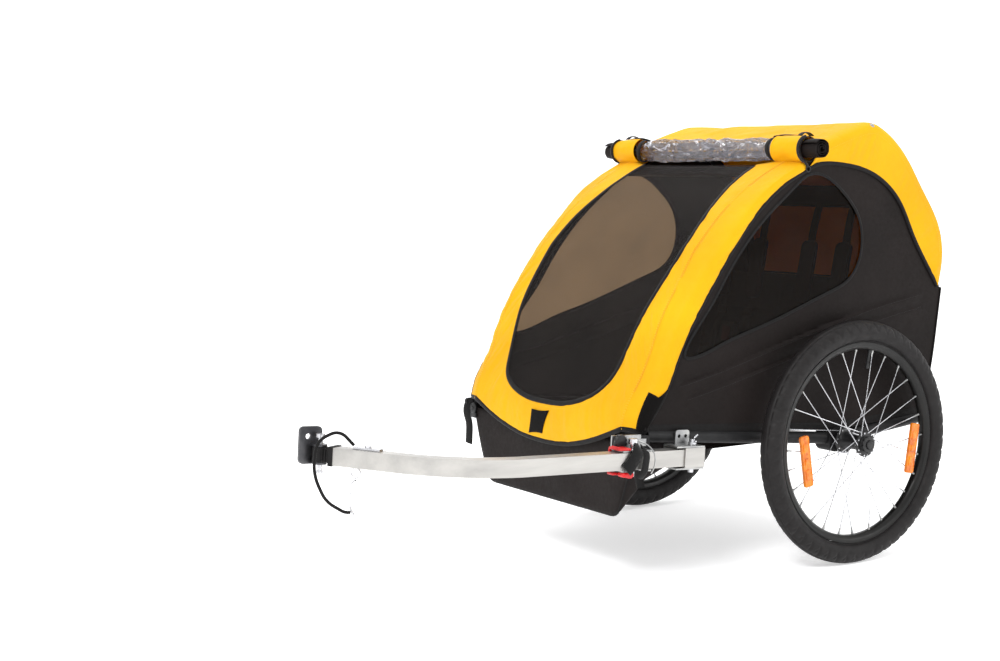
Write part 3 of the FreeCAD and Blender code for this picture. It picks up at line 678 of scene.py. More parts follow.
def stitches(shape, path, normal, pitch=5.0, length=3.2, width=0.8):
    """A row of thread stitches lying on a line."""
    path = np.asarray(path, float)
    total = np.sum(np.linalg.norm(np.diff(path, axis=0), axis=1))
    count = max(2, int(total / pitch))
    normal = np.broadcast_to(np.asarray(normal, float), path.shape)
    both = even(np.hstack([path, normal]), count)
    d = directions(both[:, :3])
    for p, n, t in zip(both[:, :3], both[:, 3:], d):
        n = unit(n)
        s = np.cross(t, n)
        base = p + n * 0.25
        verts = []
        for along, w, up in ((-0.5, 0.6, -0.3), (-0.3, 1, 0.25), (0.3, 1, 0.25), (0.5, 0.6, -0.3)):
            for side in (-0.5, 0.5):
                verts.append(base + t * along * length + s * side * width * w + n * up * width)
        low = [base + t * along * length - n * 0.6 * width for along in (-0.45, 0.45)]
        verts += low
        shape.add(verts, [(0, 1, 3, 2), (2, 3, 5, 4), (4, 5, 7, 6), (1, 0, 8), (0, 2, 4, 6, 9, 8), (7, 5, 3, 1, 8, 9),
                          (6, 7, 9)])


BAND = [(-1, -0.45), (-0.75, 0.3), (-0.3, 0.62), (0.3, 0.62), (0.75, 0.3), (1, -0.45), (0.6, -0.75), (-0.6, -0.75)]


def band(width, thick):
    """A flat binding's section, slightly domed."""
    return np.array([(a * width / 2, b * thick) for a, b in BAND])


def build_front_cover():
    cover = Shape()
    # ring of cloth between the opening and the seams and hem
    legs, hem_n = 120, 56
    inner_turn = 112
    inner_leg = even(OPEN_LINE[inner_turn:], legs)[::-1]
    inner_low = even(OPEN_LINE[:inner_turn + 1], hem_n)[::-1][1:]
    z_leg = np.linspace(829, 310, legs)
    outer_leg = np.stack([seam_y(z_leg), z_leg], 1)
    hem_half = HEM_LINE[HEM_LINE[:, 0] >= 0]
    outer_low = even(hem_half, hem_n)[::-1][1:]
    inner = np.vstack([inner_leg, inner_low])
    outer = np.vstack([outer_leg, outer_low])
    inner = np.vstack([inner, (inner[:-1] * (-1, 1))[::-1]])
    outer = np.vstack([outer, (outer[:-1] * (-1, 1))[::-1]])
    t = np.linspace(0, 1, 13)
    yz = inner[:, None] + (outer - inner)[:, None] * t[None, :, None]
    pts = front_point(yz[..., 0], yz[..., 1])
    fade = np.minimum(1.0, np.minimum(t, 1 - t)[None, :] * 3.4 + 0.15) * np.ones((len(inner), 1))
    line = np.r_[0, np.cumsum(np.linalg.norm(np.diff((inner + outer) / 2, axis=0), axis=1))]
    along = np.repeat(line[:, None], len(t), 1)
    normal = front_normal(yz[..., 1])
    pts = pucker(pts, normal, fade, depth=2.3, along=along)
    pts[:, -1] = front_point(outer[:, 0], outer[:, 1])
    cover.grid(pts)
    edges = {}
    for side in (1, -1):
        rows = np.array(shoulder_rows(z_leg, np.linspace(1, 0, legs), side))
        n = np.zeros_like(rows)
        n[..., 1] = side
        mix = np.clip((np.arange(len(rows)) - 1) / 7.0, 0, 1)[:, None, None]
        n = n * mix + front_normal(np.broadcast_to(z_leg, rows.shape[:2])) * (1 - mix)
        n /= np.linalg.norm(n, axis=-1, keepdims=True)
        fade = np.minimum(1, np.arange(len(rows)) / 3.0) * np.minimum(1, (len(rows) - 1 - np.arange(len(rows))) / 2.0)
        along = np.repeat(z_leg[None], len(rows), 0)
        rows = pucker(rows, n, fade[:, None], depth=2.0, seed=9.0 + side, along=along)
        cover.grid(rows)
        edges[side] = rows
    obj = cover.make("front_cover_cloth", "cloth_yellow", "front_flap", "cloth_yellow", ["front_cover"],
                     weld=SEWN, thick=1.1)

    # black binding round the opening, on the hem and along the side strips
    binding = Shape()
    round_path = np.vstack([OPEN_LINE[::-1][::3], (OPEN_LINE[3::3] * (-1, 1))])
    path = front_point(round_path[:, 0], round_path[:, 1], 0.8)
    binding.sweep(path, band(11.0, 1.6), front_normal(round_path[:, 1]))
    low = outer[legs - 1:len(outer) - legs + 1]
    hem_path = np.vstack([edges[1][::-1, -1], front_point(low[1:-1, 0], low[1:-1, 1], 0.4), edges[-1][:, -1]])
    up = np.vstack([edge_up(edges[1][:, -1], 1)[::-1], front_normal(low[1:-1, 1]), edge_up(edges[-1][:, -1], -1)])
    binding.sweep(hem_path, band(11.0, 1.8), up)
    for side in (1, -1):
        edge = edges[side][-1] + (0, side * 0.9, 0)
        binding.sweep(edge, band(8.0, 1.6), (0, side, 0))
    binding.make("front_cover_binding", "piping", "front_flap", "cloth_black")

    thread = Shape()
    for side in (1, -1):
        for shift in (-1.6, 1.8):
            y = side * (seam_y(z_leg) + shift)
            stitches(thread, front_point(y, z_leg, 0.75 - abs(shift) * 0.1), front_normal(z_leg))
    outward = directions(round_path)[:, ::-1] * (-1, 1)
    yz = round_path + outward * 8.5 * np.sign(np.sum(outward * (round_path - (0, 560)), axis=1, keepdims=True))
    stitches(thread, front_point(yz[:, 0], yz[:, 1], 0.8), front_normal(yz[:, 1]), 4.2, 2.8, 0.7)
    thread.make("front_cover_stitching", "thread_yellow", "front_flap", "cloth_yellow", flat=True)
    return edges


def edge_up(points, side):
    """Outward directions round the shoulder, from the front to the side."""
    angle = np.clip(np.arange(len(points)) / 8.0, 0, 1) * math.pi / 2
    return xyz(-np.cos(angle), side * np.sin(angle), 0.0)


def build_screen():
    """Black mesh across the opening, sewn under the binding."""
    z = np.linspace(330, 820, 72)
    half = np.interp(z, OPEN_LINE[:, 1], OPEN_LINE[:, 0]) + 3
    t = np.linspace(-1, 1, 41)
    y = half[:, None] * t[None]
    zz = np.repeat(z[:, None], len(t), 1)
    sag = -3.0 * (1 - t[None] ** 2) * np.sin(np.pi * np.clip((zz - 330) / 490, 0, 1))
    pts = front_point(y, zz, sag - 0.8)
    shape = Shape()
    shape.grid(pts)
    obj = shape.make("front_mesh_screen", "mesh_black", "front_flap", "mesh_black", ["front_screen"])


# ---- rear cover: roof, back and the strips down its sides ----
BACK_LINE = smooth_line([(-86, 845)] + BACK, 260)
BACK_N = directions(BACK_LINE)[:, ::-1] * (-1, 1)
BACK_EDGE = smooth_line([(-98, 806)] + REAR_EDGE, 260)


def build_rear_cover():
    cover = Shape()
    p = BACK_LINE
    count = len(p)
    run = np.linspace(0, 1, count)
    half_y = np.r_[np.linspace(0, 278, 27), np.array([285, 291, 296, 300, 303, 304.6])]
    drop = np.r_[np.zeros(27), np.array([0.6, 2.0, 4.2, 7.4, 12.0, 17.0])]
    y_all = np.r_[-half_y[:0:-1], half_y]
    d_all = np.r_[drop[:0:-1], drop]
    # the cloth dips between the cross tubes and the hoops
    dip = np.interp(run, [0, 0.10, 0.26, 0.42, 0.62, 0.85, 1], [0, 3.0, 2.0, 3.5, 7.0, 6.0, 1.0])
    height = -dip[:, None] * (1 - (y_all[None] / 285) ** 2).clip(0) - d_all[None] - 0.5
    q = p[:, None] + BACK_N[:, None] * height[..., None]
    pts = xyz(q[..., 0], y_all[None], q[..., 1])
    normal = xyz(BACK_N[:, 0], 0.0, BACK_N[:, 1])[:, None]
    fade = np.clip((300 - np.abs(y_all)) / 60, 0.12, 1)[None] * np.ones((count, 1))
    fade *= np.clip(np.minimum(run, 1 - run) * 12, 0.1, 1)[:, None]
    along = np.repeat((run * 620)[:, None], len(y_all), 1)
    pts = pucker(pts, normal, fade, size=(60.0, 110.0), depth=3.0, seed=21.0, along=along)
    cover.grid(pts)
    edge_share = np.linspace(0, 1, len(BACK_EDGE))
    strips = {}
    for side in (1, -1):
        top = pts[:, -1] if side > 0 else pts[:, 0]
        low = xyz(np.interp(run, edge_share, BACK_EDGE[:, 0]), side * SHOULDER,
                  np.interp(run, edge_share, BACK_EDGE[:, 1]))
        t = np.linspace(0, 1, 14)
        rows = top[None] + (low - top)[None] * t[:, None, None]
        rows[..., 1] += side * 2.4 * np.sin(np.pi * t)[:, None]
        fade = (np.sin(np.pi * t) ** 0.6)[:, None]
        rows = pucker(rows, np.array([0.0, side, 0.0]), fade, size=(34.0, 90.0), depth=2.6, seed=31.0 + side,
                      along=np.repeat((run * 620)[None], len(t), 0))
        rows[0] = top
        cover.grid(rows)
        strips[side] = rows
    obj = cover.make("rear_cover_cloth", "cloth_yellow", "chassis", "cloth_yellow", ["rear_cover"], weld=SEWN,
                     thick=1.1)

    binding = Shape()
    thread = Shape()
    for side in (1, -1):
        edge = strips[side][-1] + (0, side * 0.9, 0)
        binding.sweep(edge, band(9.0, 1.8), (0, side, 0))
        seam = strips[side][1] + (0, side * 0.8, 0)
        stitches(thread, seam[4:-3], (0, side, 0), 5.0, 3.2, 0.7)
    binding.sweep(pts[-1] + (1.0, 0, 0), band(9.0, 1.8), (1, 0, 0.05))
    binding.make("rear_cover_binding", "piping", "chassis", "cloth_black")
    # the roof is sewn to the back across the corner above the rear tube
    k = int(np.argmin(np.hypot(p[:, 0] - 104, p[:, 1] - 901)))
    cross = pts[k, 3:-3] + normal[k] * 0.7
    stitches(thread, cross, normal[k], 5.0, 3.2, 0.7)
    thread.make("rear_cover_stitching", "thread_yellow", "chassis", "cloth_yellow", flat=True)


# ---- side panels and windows ----
PLEATS = [    # each one's line, depth and reach
    ([(-419, 394), (-321, 415), (-218, 442), (-111, 470), (-1, 497), (84, 518), (226, 543)], 3.0, 26.0),
    ([(-401, 366), (-321, 383), (-238, 403), (-143, 427), (-30, 458), (97, 492), (233, 517)], 2.2, 18.0),
]
PANEL_MIDDLE = np.array([-128.0, 632.0])
RAIL_LINE = [(-503, 312), (-33, 277), (33, 277), (244, 290)]


def panel_outline(count):
    """The side panel's edge as count points: front arch, roof, back, cargo corner and rail line, and round again."""
    parts = []
    for points, part, inwards in ((ARCH, 90, 15.0), (BACK, 110, 18.0), (CARGO, 40, 1.5)):
        line = smooth_line(points, part)
        parts.append(line + directions(line)[:, ::-1] * (1, -1) * inwards)
    return even(np.vstack(parts + [even(RAIL_LINE[::-1], 80), parts[0][:1]]), count)


def pleat_height(x, z):
    """How far the side panel stands out: a pocket whose edge folds over, with a tuck below it."""
    out = 0.0
    for line, depth, reach in PLEATS:
        line = np.asarray(line, float)
        if not line[0, 0] - 5 < x < line[-1, 0] + 15:
            continue
        edge = np.interp(x, line[:, 0], line[:, 1])
        d = edge - z
        ends = min(1.0, (x - line[0, 0] + 5) / 20, (line[-1, 0] + 15 - x) / 60)
        if 0 <= d < 3:
            out += depth * ends * (d / 1.5 - 1)
        elif d >= 3:
            out += depth * ends * math.exp(-((d - 3) / reach) ** 1.3)
        else:
            out -= depth * ends * math.exp(-(d / 0.6 / reach) ** 2)
    return out


def build_side_panels():
    # more directions where the outline is far away and bends sharply
    arc = panel_outline(421)[:-1] - PANEL_MIDDLE
    angles = np.sort(np.arctan2(arc[:, 1], arc[:, 0]))
    rays = np.stack([np.cos(angles), np.sin(angles)], 1)

    def reach(line):
        """How far the line is from the panel's middle in each direction."""
        d = line - PANEL_MIDDLE
        a = np.arctan2(d[:, 1], d[:, 0])
        order = np.argsort(a)
        a = np.r_[a[order] - 2 * math.pi, a[order], a[order] + 2 * math.pi]
        return np.interp(angles, a, np.tile(np.hypot(d[:, 0], d[:, 1])[order], 3))

    outer = reach(panel_outline(1200))
    inner = reach(smooth_line(WINDOW, 900, closed=True))
    for name, side in SIDES.items():
        shape = Shape()
        t = np.linspace(0, 1, 72)
        radius = inner[None] + (outer - inner)[None] * t[:, None]
        xzs = PANEL_MIDDLE + rays[None] * radius[..., None]
        y = np.empty(xzs.shape[:2])
        for i in range(xzs.shape[0]):
            for j in range(xzs.shape[1]):
                x, z = xzs[i, j]
                hold = min(1.0, t[i] * 5, (1 - t[i]) * 4)
                y[i, j] = 301.0 + pleat_height(x, z) + hold * (1.3 * wobble((x, 0, z), 120, 4.0 + side)
                                                             + 0.5 * wobble((x, 0, z), 45, 8.0))
        y = np.minimum(y, 303.9)
        # the cloth keeps clear of the rolled shield
        d = xzs - ROLL[[0, 2]]
        away = np.linalg.norm(d, axis=-1, keepdims=True)
        xzs = np.where(away < ROLL_CLEAR, ROLL[[0, 2]] + d / np.maximum(away, 1e-6) * ROLL_CLEAR, xzs)
        shape.grid(xyz(xzs[..., 0], side * y, xzs[..., 1]), close_v=True)
        obj = shape.make("side_cloth_" + name, "cloth_black", "chassis", "cloth_black",
                         ["side_panel_" + name], thick=1.0)

        edge = Shape()
        loop = smooth_line(WINDOW, 160, closed=True)
        edge.sweep(xz(loop, side * 302.4), band(7.0, 0.9), (0, side, 0), closed=True)
        thread = Shape()
        grown = loop + (loop - PANEL_MIDDLE) / np.linalg.norm(loop - PANEL_MIDDLE, axis=1, keepdims=True) * 1.5
        stitches(thread, xz(np.vstack([grown, grown[:1]]), side * 303.2), (0, side, 0), 4.4, 2.8, 0.6)
        low = np.array(RAIL_LINE) + (0, 2)
        edge.sweep(xz(even(low, 60), side * 302.2), band(16.0, 1.0), (0, side, 0))
        for pleat, drop in zip(PLEATS, (5.0, 4.0)):
            c = smooth_line(pleat[0], 70) - (0, drop)
            ys = np.array([302.2 + min(pleat_height(x, z), 3.0) for x, z in c])
            stitches(thread, xyz(c[:, 0], side * ys, c[:, 1]), (0, side, 0), 4.6, 3.0, 0.6)
        edge.make("side_binding_" + name, "piping", "chassis", "cloth_black")
        thread.make("side_stitching_" + name, "thread_black", "chassis", "cloth_black", flat=True)

        pane = Shape()
        rows = []
        for t in np.r_[0.02, np.linspace(0.1, 1.03, 16)]:
            line = PANEL_MIDDLE + (smooth_line(WINDOW, 120, closed=True) - PANEL_MIDDLE) * t
            ys = np.array([299.6 + 1.3 * wobble((x, 0, z), 90, 14.0 + side) * (1 - t * 0.7) for x, z in line])
            rows.append(xyz(line[:, 0], side * ys, line[:, 1]))
        pane.cap(pane.grid(rows, close_v=True), 120)
        obj = pane.make("window_pane_" + name, "window_tint", "chassis", "window_tint",
                        ["side_window_" + name])


# ---- cargo panel, footwell and floor ----
def build_lower_body():
    line = smooth_line(CARGO, 60)
    n = directions(line)[:, ::-1] * (-1, 1)
    y = np.linspace(-301, 301, 70)
    t = np.linspace(0, 1, len(line))
    pts = np.empty((len(line), len(y), 3))
    for i in range(len(line)):
        for j in range(len(y)):
            hold = min(1, (301 - abs(y[j])) / 50) * min(1, min(t[i], 1 - t[i]) * 8)
            h = -4 * hold + 2.6 * hold * wobble((y[j], 0, t[i] * 270), 110, 41.0) + 0.5
            pts[i, j] = line[i, 0] + n[i, 0] * h, y[j], line[i, 1] + n[i, 1] * h
    shape = Shape()
    shape.grid(pts)
    obj = shape.make("cargo_cloth", "cloth_black", "chassis", "cloth_black", ["cargo_panel"], thick=1.1)
    edge = Shape()
    for side in (1, -1):
        edge.sweep(xz(line + n * 1.2, side * 300.5), band(9.0, 1.8), (0.8, side * 0.6, 0))
    edge.sweep(xyz(247.5, np.linspace(-300, 300, 40), 290.5), band(9, 1.6), (1, 0, 0.3))
    edge.make("cargo_binding", "piping", "chassis", "cloth_black")

    # footwell: sections front to back are (x, bottom height, half width at the bottom)
    stations = np.array([(-514, 132, 234), (-505, 145, 240), (-469, 201, 262), (-430, 223, 275), (-405, 235, 280)])
    xs = np.linspace(-511, -405, 26)

    def section(x, bottom, half, inset=0.0):
        top, corner = 286.0, 26.0
        low_y, low_z = half - inset, bottom + inset
        high_y = 292.0 - inset
        slope = unit((high_y - low_y, top - low_z))
        wall = [(high_y, top), (low_y + slope[0] * corner, low_z + slope[1] * corner)]
        half_line = list(map(tuple, even(wall, 12)))
        for k in np.linspace(0, 1, 6)[1:-1]:
            half_line.append(tuple(np.array(wall[1]) * (1 - k) ** 2 + 2 * k * (1 - k) * np.array((low_y, low_z))
                                   + k * k * np.array((low_y - corner, low_z))))
        half_line += [(v, low_z) for v in np.linspace(low_y - corner, 0, 14)]
        full = half_line + [(-a, b) for a, b in half_line[:-1]][::-1]
        return np.array([(x, a, b) for a, b in full])

    rows = []
    for x in xs[::-1]:
        b, h = (np.interp(x, stations[:, 0], stations[:, i]) for i in (1, 2))
        rows.append(section(x, b, h))
    for inset, x in ((1.2, -513.2), (3.5, -514.8), (7.0, -515.6)):
        b, h = stations[0, 1], stations[0, 2]
        rows.append(section(x, b, h, inset))
    rim = rows[-1]
    core = rim * (1, 0, 1)
    core[:, 2] = np.interp(np.abs(np.linspace(-1, 1, len(rim))), [0, 1], [200, 286])
    for t in (0.08, 0.2, 0.4, 0.6, 0.8, 1.0):
        rows.append(rim + (core - rim) * t)
    rows = np.array(rows)
    for i in range(rows.shape[0]):
        for j in range(rows.shape[1]):
            p = rows[i, j]
            w = 1.8 * wobble(p, 90, 51.0) + 0.6 * wobble(p, 35, 57.0)
            free = min(1.0, (286 - p[2]) / 40)
            if i >= 26:
                rows[i, j, 0] += w * free - 2.0 * free
            else:
                rows[i, j, 1] += w * free * np.sign(p[1]) * min(1, abs(p[1]) / 100)
                rows[i, j, 2] += 0.5 * w * free
    shape = Shape()
    shape.grid(rows)
    obj = shape.make("footwell_cloth", "cloth_black", "chassis", "cloth_black", ["footwell"], thick=1.2,
                     weld=0.01)
    edge = Shape()
    edge.sweep(rows[26, 2:-2] + (-0.5, 0, 0), band(7.0, 1.3), unit((-1, 0, -0.25)))
    edge.make("footwell_binding", "piping", "chassis", "cloth_black")

    floor = Shape()
    for x0, x1, z in ((-404, -155, 256.5), (86, 222, 269.5)):
        x = np.r_[x0, np.linspace(x0, x1, 23)]
        y = np.linspace(-279, 279, 40)
        gx, gy = np.meshgrid(x, y, indexing="ij")
        held = np.sin(np.pi * (gx - x0) / (x1 - x0)) * np.cos(gy / 279 * math.pi / 2)
        gz = z - 5.0 * held
        for i in range(24):
            for j in range(40):
                gz[i, j] += 1.0 * wobble((gx[i, j], gy[i, j], 0), 80, 61.0) * held[i, j]
        if z < 260:
            # its front edge turns down to the footwell
            gz[0] = 237.0
        floor.grid(np.stack([gx, gy, gz], -1))
    obj = floor.make("floor_cloth", "cloth_black", "chassis", "cloth_black", ["floor_panels"], thick=1.4)


front_edges = build_front_cover()
build_screen()
build_rear_cover()
build_side_panels()
build_lower_body()


# ---- rolled rain shield ----
def crinkle(y, angle, seed):
    p = (y, 30 * math.cos(angle), 30 * math.sin(angle))
    return (wobble(p, 24.0, seed) * 0.9 - abs(wobble(p, 24.0 * 0.5, seed + 5)) * 1.3
            + wobble(p, 24.0 * 0.24, seed + 9) * 0.35)


def on_roll(radius, angle, y):
    """Points round the roll's axis; the angle runs from the rear, upwards."""
    return xyz(ROLL[0] + radius * np.cos(angle), y, ROLL[2] + radius * np.sin(angle))


def roll_out(angle):
    return xyz(np.cos(angle), 0.0, np.sin(angle))


def build_roll():
    vinyl = Shape()
    for radius, depth, seed, y0, y1 in ((24.0, 4.0, 71.0, -230, 230), (17.0, 3.4, 77.0, -226, 226)):
        rows = []
        for y in np.linspace(y0, y1, 190):
            squeeze = 1 - 0.16 * math.exp(-((abs(y) - 217) / 16) ** 2) + 0.05 * math.exp(-((y - 130) / 50) ** 2)
            r = np.array([radius * squeeze + depth * crinkle(y, a, seed) for a in turn(72)])
            rows.append(on_roll(r, turn(72), y))
        vinyl.grid(rows, close_v=True)
    vinyl.make("rolled_vinyl", "vinyl_clear", "chassis", "vinyl_clear", ["rolled_shield"])

    sleeves, ends, straps, loops, tabs = Shape(), Shape(), Shape(), Shape(), Shape()
    for side in (-1, 1):
        for inner in (0, 1):
            rows = []
            for y in np.linspace(228, 309, 42):
                # wide where the shield goes in, drawn in round the black end
                spread = 27.2 - 3.6 * ((y - 228) / 81) ** 1.6 + 1.0 * math.sin(math.pi * (y - 228) / 81)
                row = []
                for a in turn(60):
                    fold = 1.4 * wobble((y * 0.8, 60 * math.cos(a), 60 * math.sin(a)), 26, 91.0 + side)
                    r = spread + fold - 1.5 * inner
                    sag = 1.0 + 0.12 * max(0.0, -math.sin(a)) ** 2
                    row.append((ROLL[0] + r * math.cos(a), side * y, ROLL[2] + r * sag * math.sin(a)))
                rows.append(row)
            sleeves.grid(rows, close_v=True)
        # the tightly rolled black cloth that sticks out of the sleeve
        turns, per_turn = 3.4, 40
        theta = np.linspace(0, 2 * math.pi * turns, int(turns * per_turn))
        spiral = 4.0 + (19.6 - 4.0) * theta / theta[-1]
        rows = []
        for y in np.linspace(270, 351, 20):
            flare = 1 + 0.06 * math.sin(math.pi * np.clip((y - 305) / 46, 0, 1))
            row = []
            for t, r in zip(theta, spiral):
                q = r * flare + 0.9 * wobble((y, 40 * math.cos(t), 40 * math.sin(t)), 18, 95.0)
                reach = y + (2.4 * wobble((t * 9, 0, 0), 14, 97.0) - 1.5 if y > 345 else 0)
                row.append((ROLL[0] + q * math.cos(t), side * min(reach, 352.0), ROLL[2] + q * math.sin(t)))
            rows.append(row)
        ends.grid(rows)
        for y, r, into in ((229.0, 27.6, sleeves), (309.0, 24.6, ends)):
            into.sweep(on_roll(r, turn(60), side * y), band(5.0, 1.2), roll_out(turn(60)), closed=True)
        # webbing strap round the vinyl, one end lying over the other
        a = np.linspace(-0.6, 2 * math.pi + 0.5, 84)
        r = 24.0 + 0.9 * np.clip((a - 5.2) / 0.6, 0, 1) * 2.2
        # it lies aslant, lower at the front
        slant = side * (219.0 - 7.0 * np.cos(a + 1.2 - 2.6))
        straps.sweep(on_roll(r, a + 1.2, slant), band(13.0, 1.8), roll_out(a + 1.2))
        # and its tail runs out along the top of the sleeve to the roof
        over = [(-107, side * 216, 873.0), (-104, side * 232, 875.0), (-100, side * 256, 874.8),
                (-96, side * 276, 873.2)]
        straps.sweep(smooth_line(over, 24), band(13.0, 1.5), (0, 0, 1))
        # elastic loop from the top of the sleeve, round its front, to a small ring at the cover's peak
        a = np.linspace(1.75, 4.45, 30)
        r = 26.4 + 1.6 * np.sin((a - 1.75) * 1.16)
        arc = on_roll(r, a, side * (306 + 2 * np.sin(a - 1.75)))
        tail = np.array([(-106, side * 308, 816), (-102, side * 307, 810)])
        loops.tube(even(np.vstack([arc, tail]), 50), 2.5)
        eye = xz(circle(5.4, 22) + (-101, 806), side * 308.0)
        loops.tube(eye, 1.3, mat=1, closed=True)
        # folded webbing tab standing on the sleeve
        rise = [(-104, 873), (-98, 877.5), (-88, 880), (-78, 878), (-70, 873)]
        tabs.sweep(smooth_line(xz(rise, side * 284), 16), band(15.0, 1.4), (0, 0, 1))
    sleeves.make("roll_sleeve_cloth", "cloth_yellow", "chassis", "cloth_yellow", ["roll_sleeves"])
    ends.make("roll_end_cloth", "cloth_black", "chassis", "cloth_black", ["roll_ends"], thick=1.0)
    straps.make("roll_webbing", "webbing_black", "chassis", "webbing_black", ["roll_straps"])
    loops.make("elastic_loops", "elastic buckle_plastic", "chassis", "webbing_black")
    tabs.make("roll_tabs", "webbing_black", "chassis", "webbing_black")


# ---- seat ----
SEAT_FOOT = np.array([78.0, 0.0, 303.0])
LEAN = math.radians(11.6)
SEAT_AXES = np.array([(math.cos(LEAN), 0, -math.sin(LEAN)), (0, 1, 0), (math.sin(LEAN), 0, math.cos(LEAN))])
CHILD_Y = 132.0


def on_back(points):
    """From the seat back's own frame, -X forwards and +Z up along it."""
    return SEAT_FOOT + np.asarray(points, float) @ SEAT_AXES


def plump(name, corner_low, corner_high, body, replaces, swell, frame_to, pinch, seed,
          corner=22.0):
    """A sewn pad: a rounded slab blown up by cloth simulation, its points held within swell of where they began."""
    low, high = np.asarray(corner_low, float), np.asarray(corner_high, float)
    centre, half = (low + high) / 2, (high - low) / 2
    thin = int(np.argmin(half))
    wide = [i for i in range(3) if i != thin]
    outline = corner_outline(half[wide[0]] - 1.5, half[wide[1]] - 1.5, corner, 6)
    shape = Shape()
    rows = []
    for lift, inset in ((-1, 0.5 * half[thin]), (-0.55, 0), (0.55, 0), (1, 0.5 * half[thin])):
        ring_pts = np.zeros((len(outline), 3))
        flat = shrink(outline, inset)
        ring_pts[:, wide[0]], ring_pts[:, wide[1]] = flat[:, 0], flat[:, 1]
        ring_pts[:, thin] = lift * (half[thin] - 1.5)
        rows.append(ring_pts + centre)
    start = shape.grid(rows, close_v=True)
    m = len(outline)
    shape.cap(start, m)
    shape.cap(start + 3 * m, m)
    verts = np.array(shape.verts)
    mesh = bpy.data.meshes.new(name)
    mesh.from_pydata(place(frame_to(verts) if frame_to else verts).tolist(), [], shape.faces)
    tidy_mesh(mesh)
    obj = bpy.data.objects.new(name, mesh)
    SCENE.collection.objects.link(obj)
    bpy.context.view_layer.objects.active = obj
    remesh = obj.modifiers.new("voxels", "REMESH")
    remesh.mode = "VOXEL"
    remesh.voxel_size = 0.006
    # smoothing takes the steps out of the voxel surface
    smooth = obj.modifiers.new("smooth", "SMOOTH")
    smooth.factor = 0.6
    smooth.iterations = 10
    bpy.context.view_layer.update()
    apply_modifiers(obj)
    before = np.array([v.co[:] for v in obj.data.vertices])
    cloth_mod = obj.modifiers.new("cloth", "CLOTH")
    cloth_mod.settings.use_pressure = True
    cloth_mod.settings.uniform_pressure_force = 4.0
    cloth_mod.settings.effector_weights.gravity = 0.0
    cloth_mod.settings.quality = 4
    for f in range(1, 21):
        SCENE.frame_set(f)
    apply_modifiers(obj)
    SCENE.frame_set(1)
    after = np.array([v.co[:] for v in obj.data.vertices])
    move = after - before
    size = np.linalg.norm(move, axis=1, keepdims=True)
    after = before + move * np.minimum(1, swell * 0.001 / np.maximum(size, 1e-9))
    # sewn channels pull the cloth in along lines
    normal = np.array([v.normal[:] for v in obj.data.vertices])
    local = (after - SHIFT) * 1000
    if frame_to:
        local = (local - SEAT_FOOT) @ SEAT_AXES.T
    for axis, at, depth, reach in pinch:
        d = np.abs(local[:, axis] - at) / reach
        after -= normal * (depth * 0.001 * np.exp(-d ** 2))[:, None]
    for i, p in enumerate(local):
        after[i] += normal[i] * 0.0008 * (wobble(p, 45, seed) + 0.5 * wobble(p, 18, seed + 2))
    obj.data.vertices.foreach_set("co", after.ravel())
    obj.data.materials.clear()
    obj.data.materials.append(MAT["seat_cloth"])
    obj.data.polygons.foreach_set("use_smooth", [True] * len(obj.data.polygons))
    obj.data.update()
    sub = obj.modifiers.new("round", "SUBSURF")
    sub.levels = sub.render_levels = 1
    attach(obj, body)
    if replaces:
        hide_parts(*replaces)


def apply_modifiers(obj):
    graph = bpy.context.evaluated_depsgraph_get()
    mesh = bpy.data.meshes.new_from_object(obj.evaluated_get(graph))
    obj.modifiers.clear()
    old = obj.data
    obj.data = mesh
    bpy.data.meshes.remove(old)


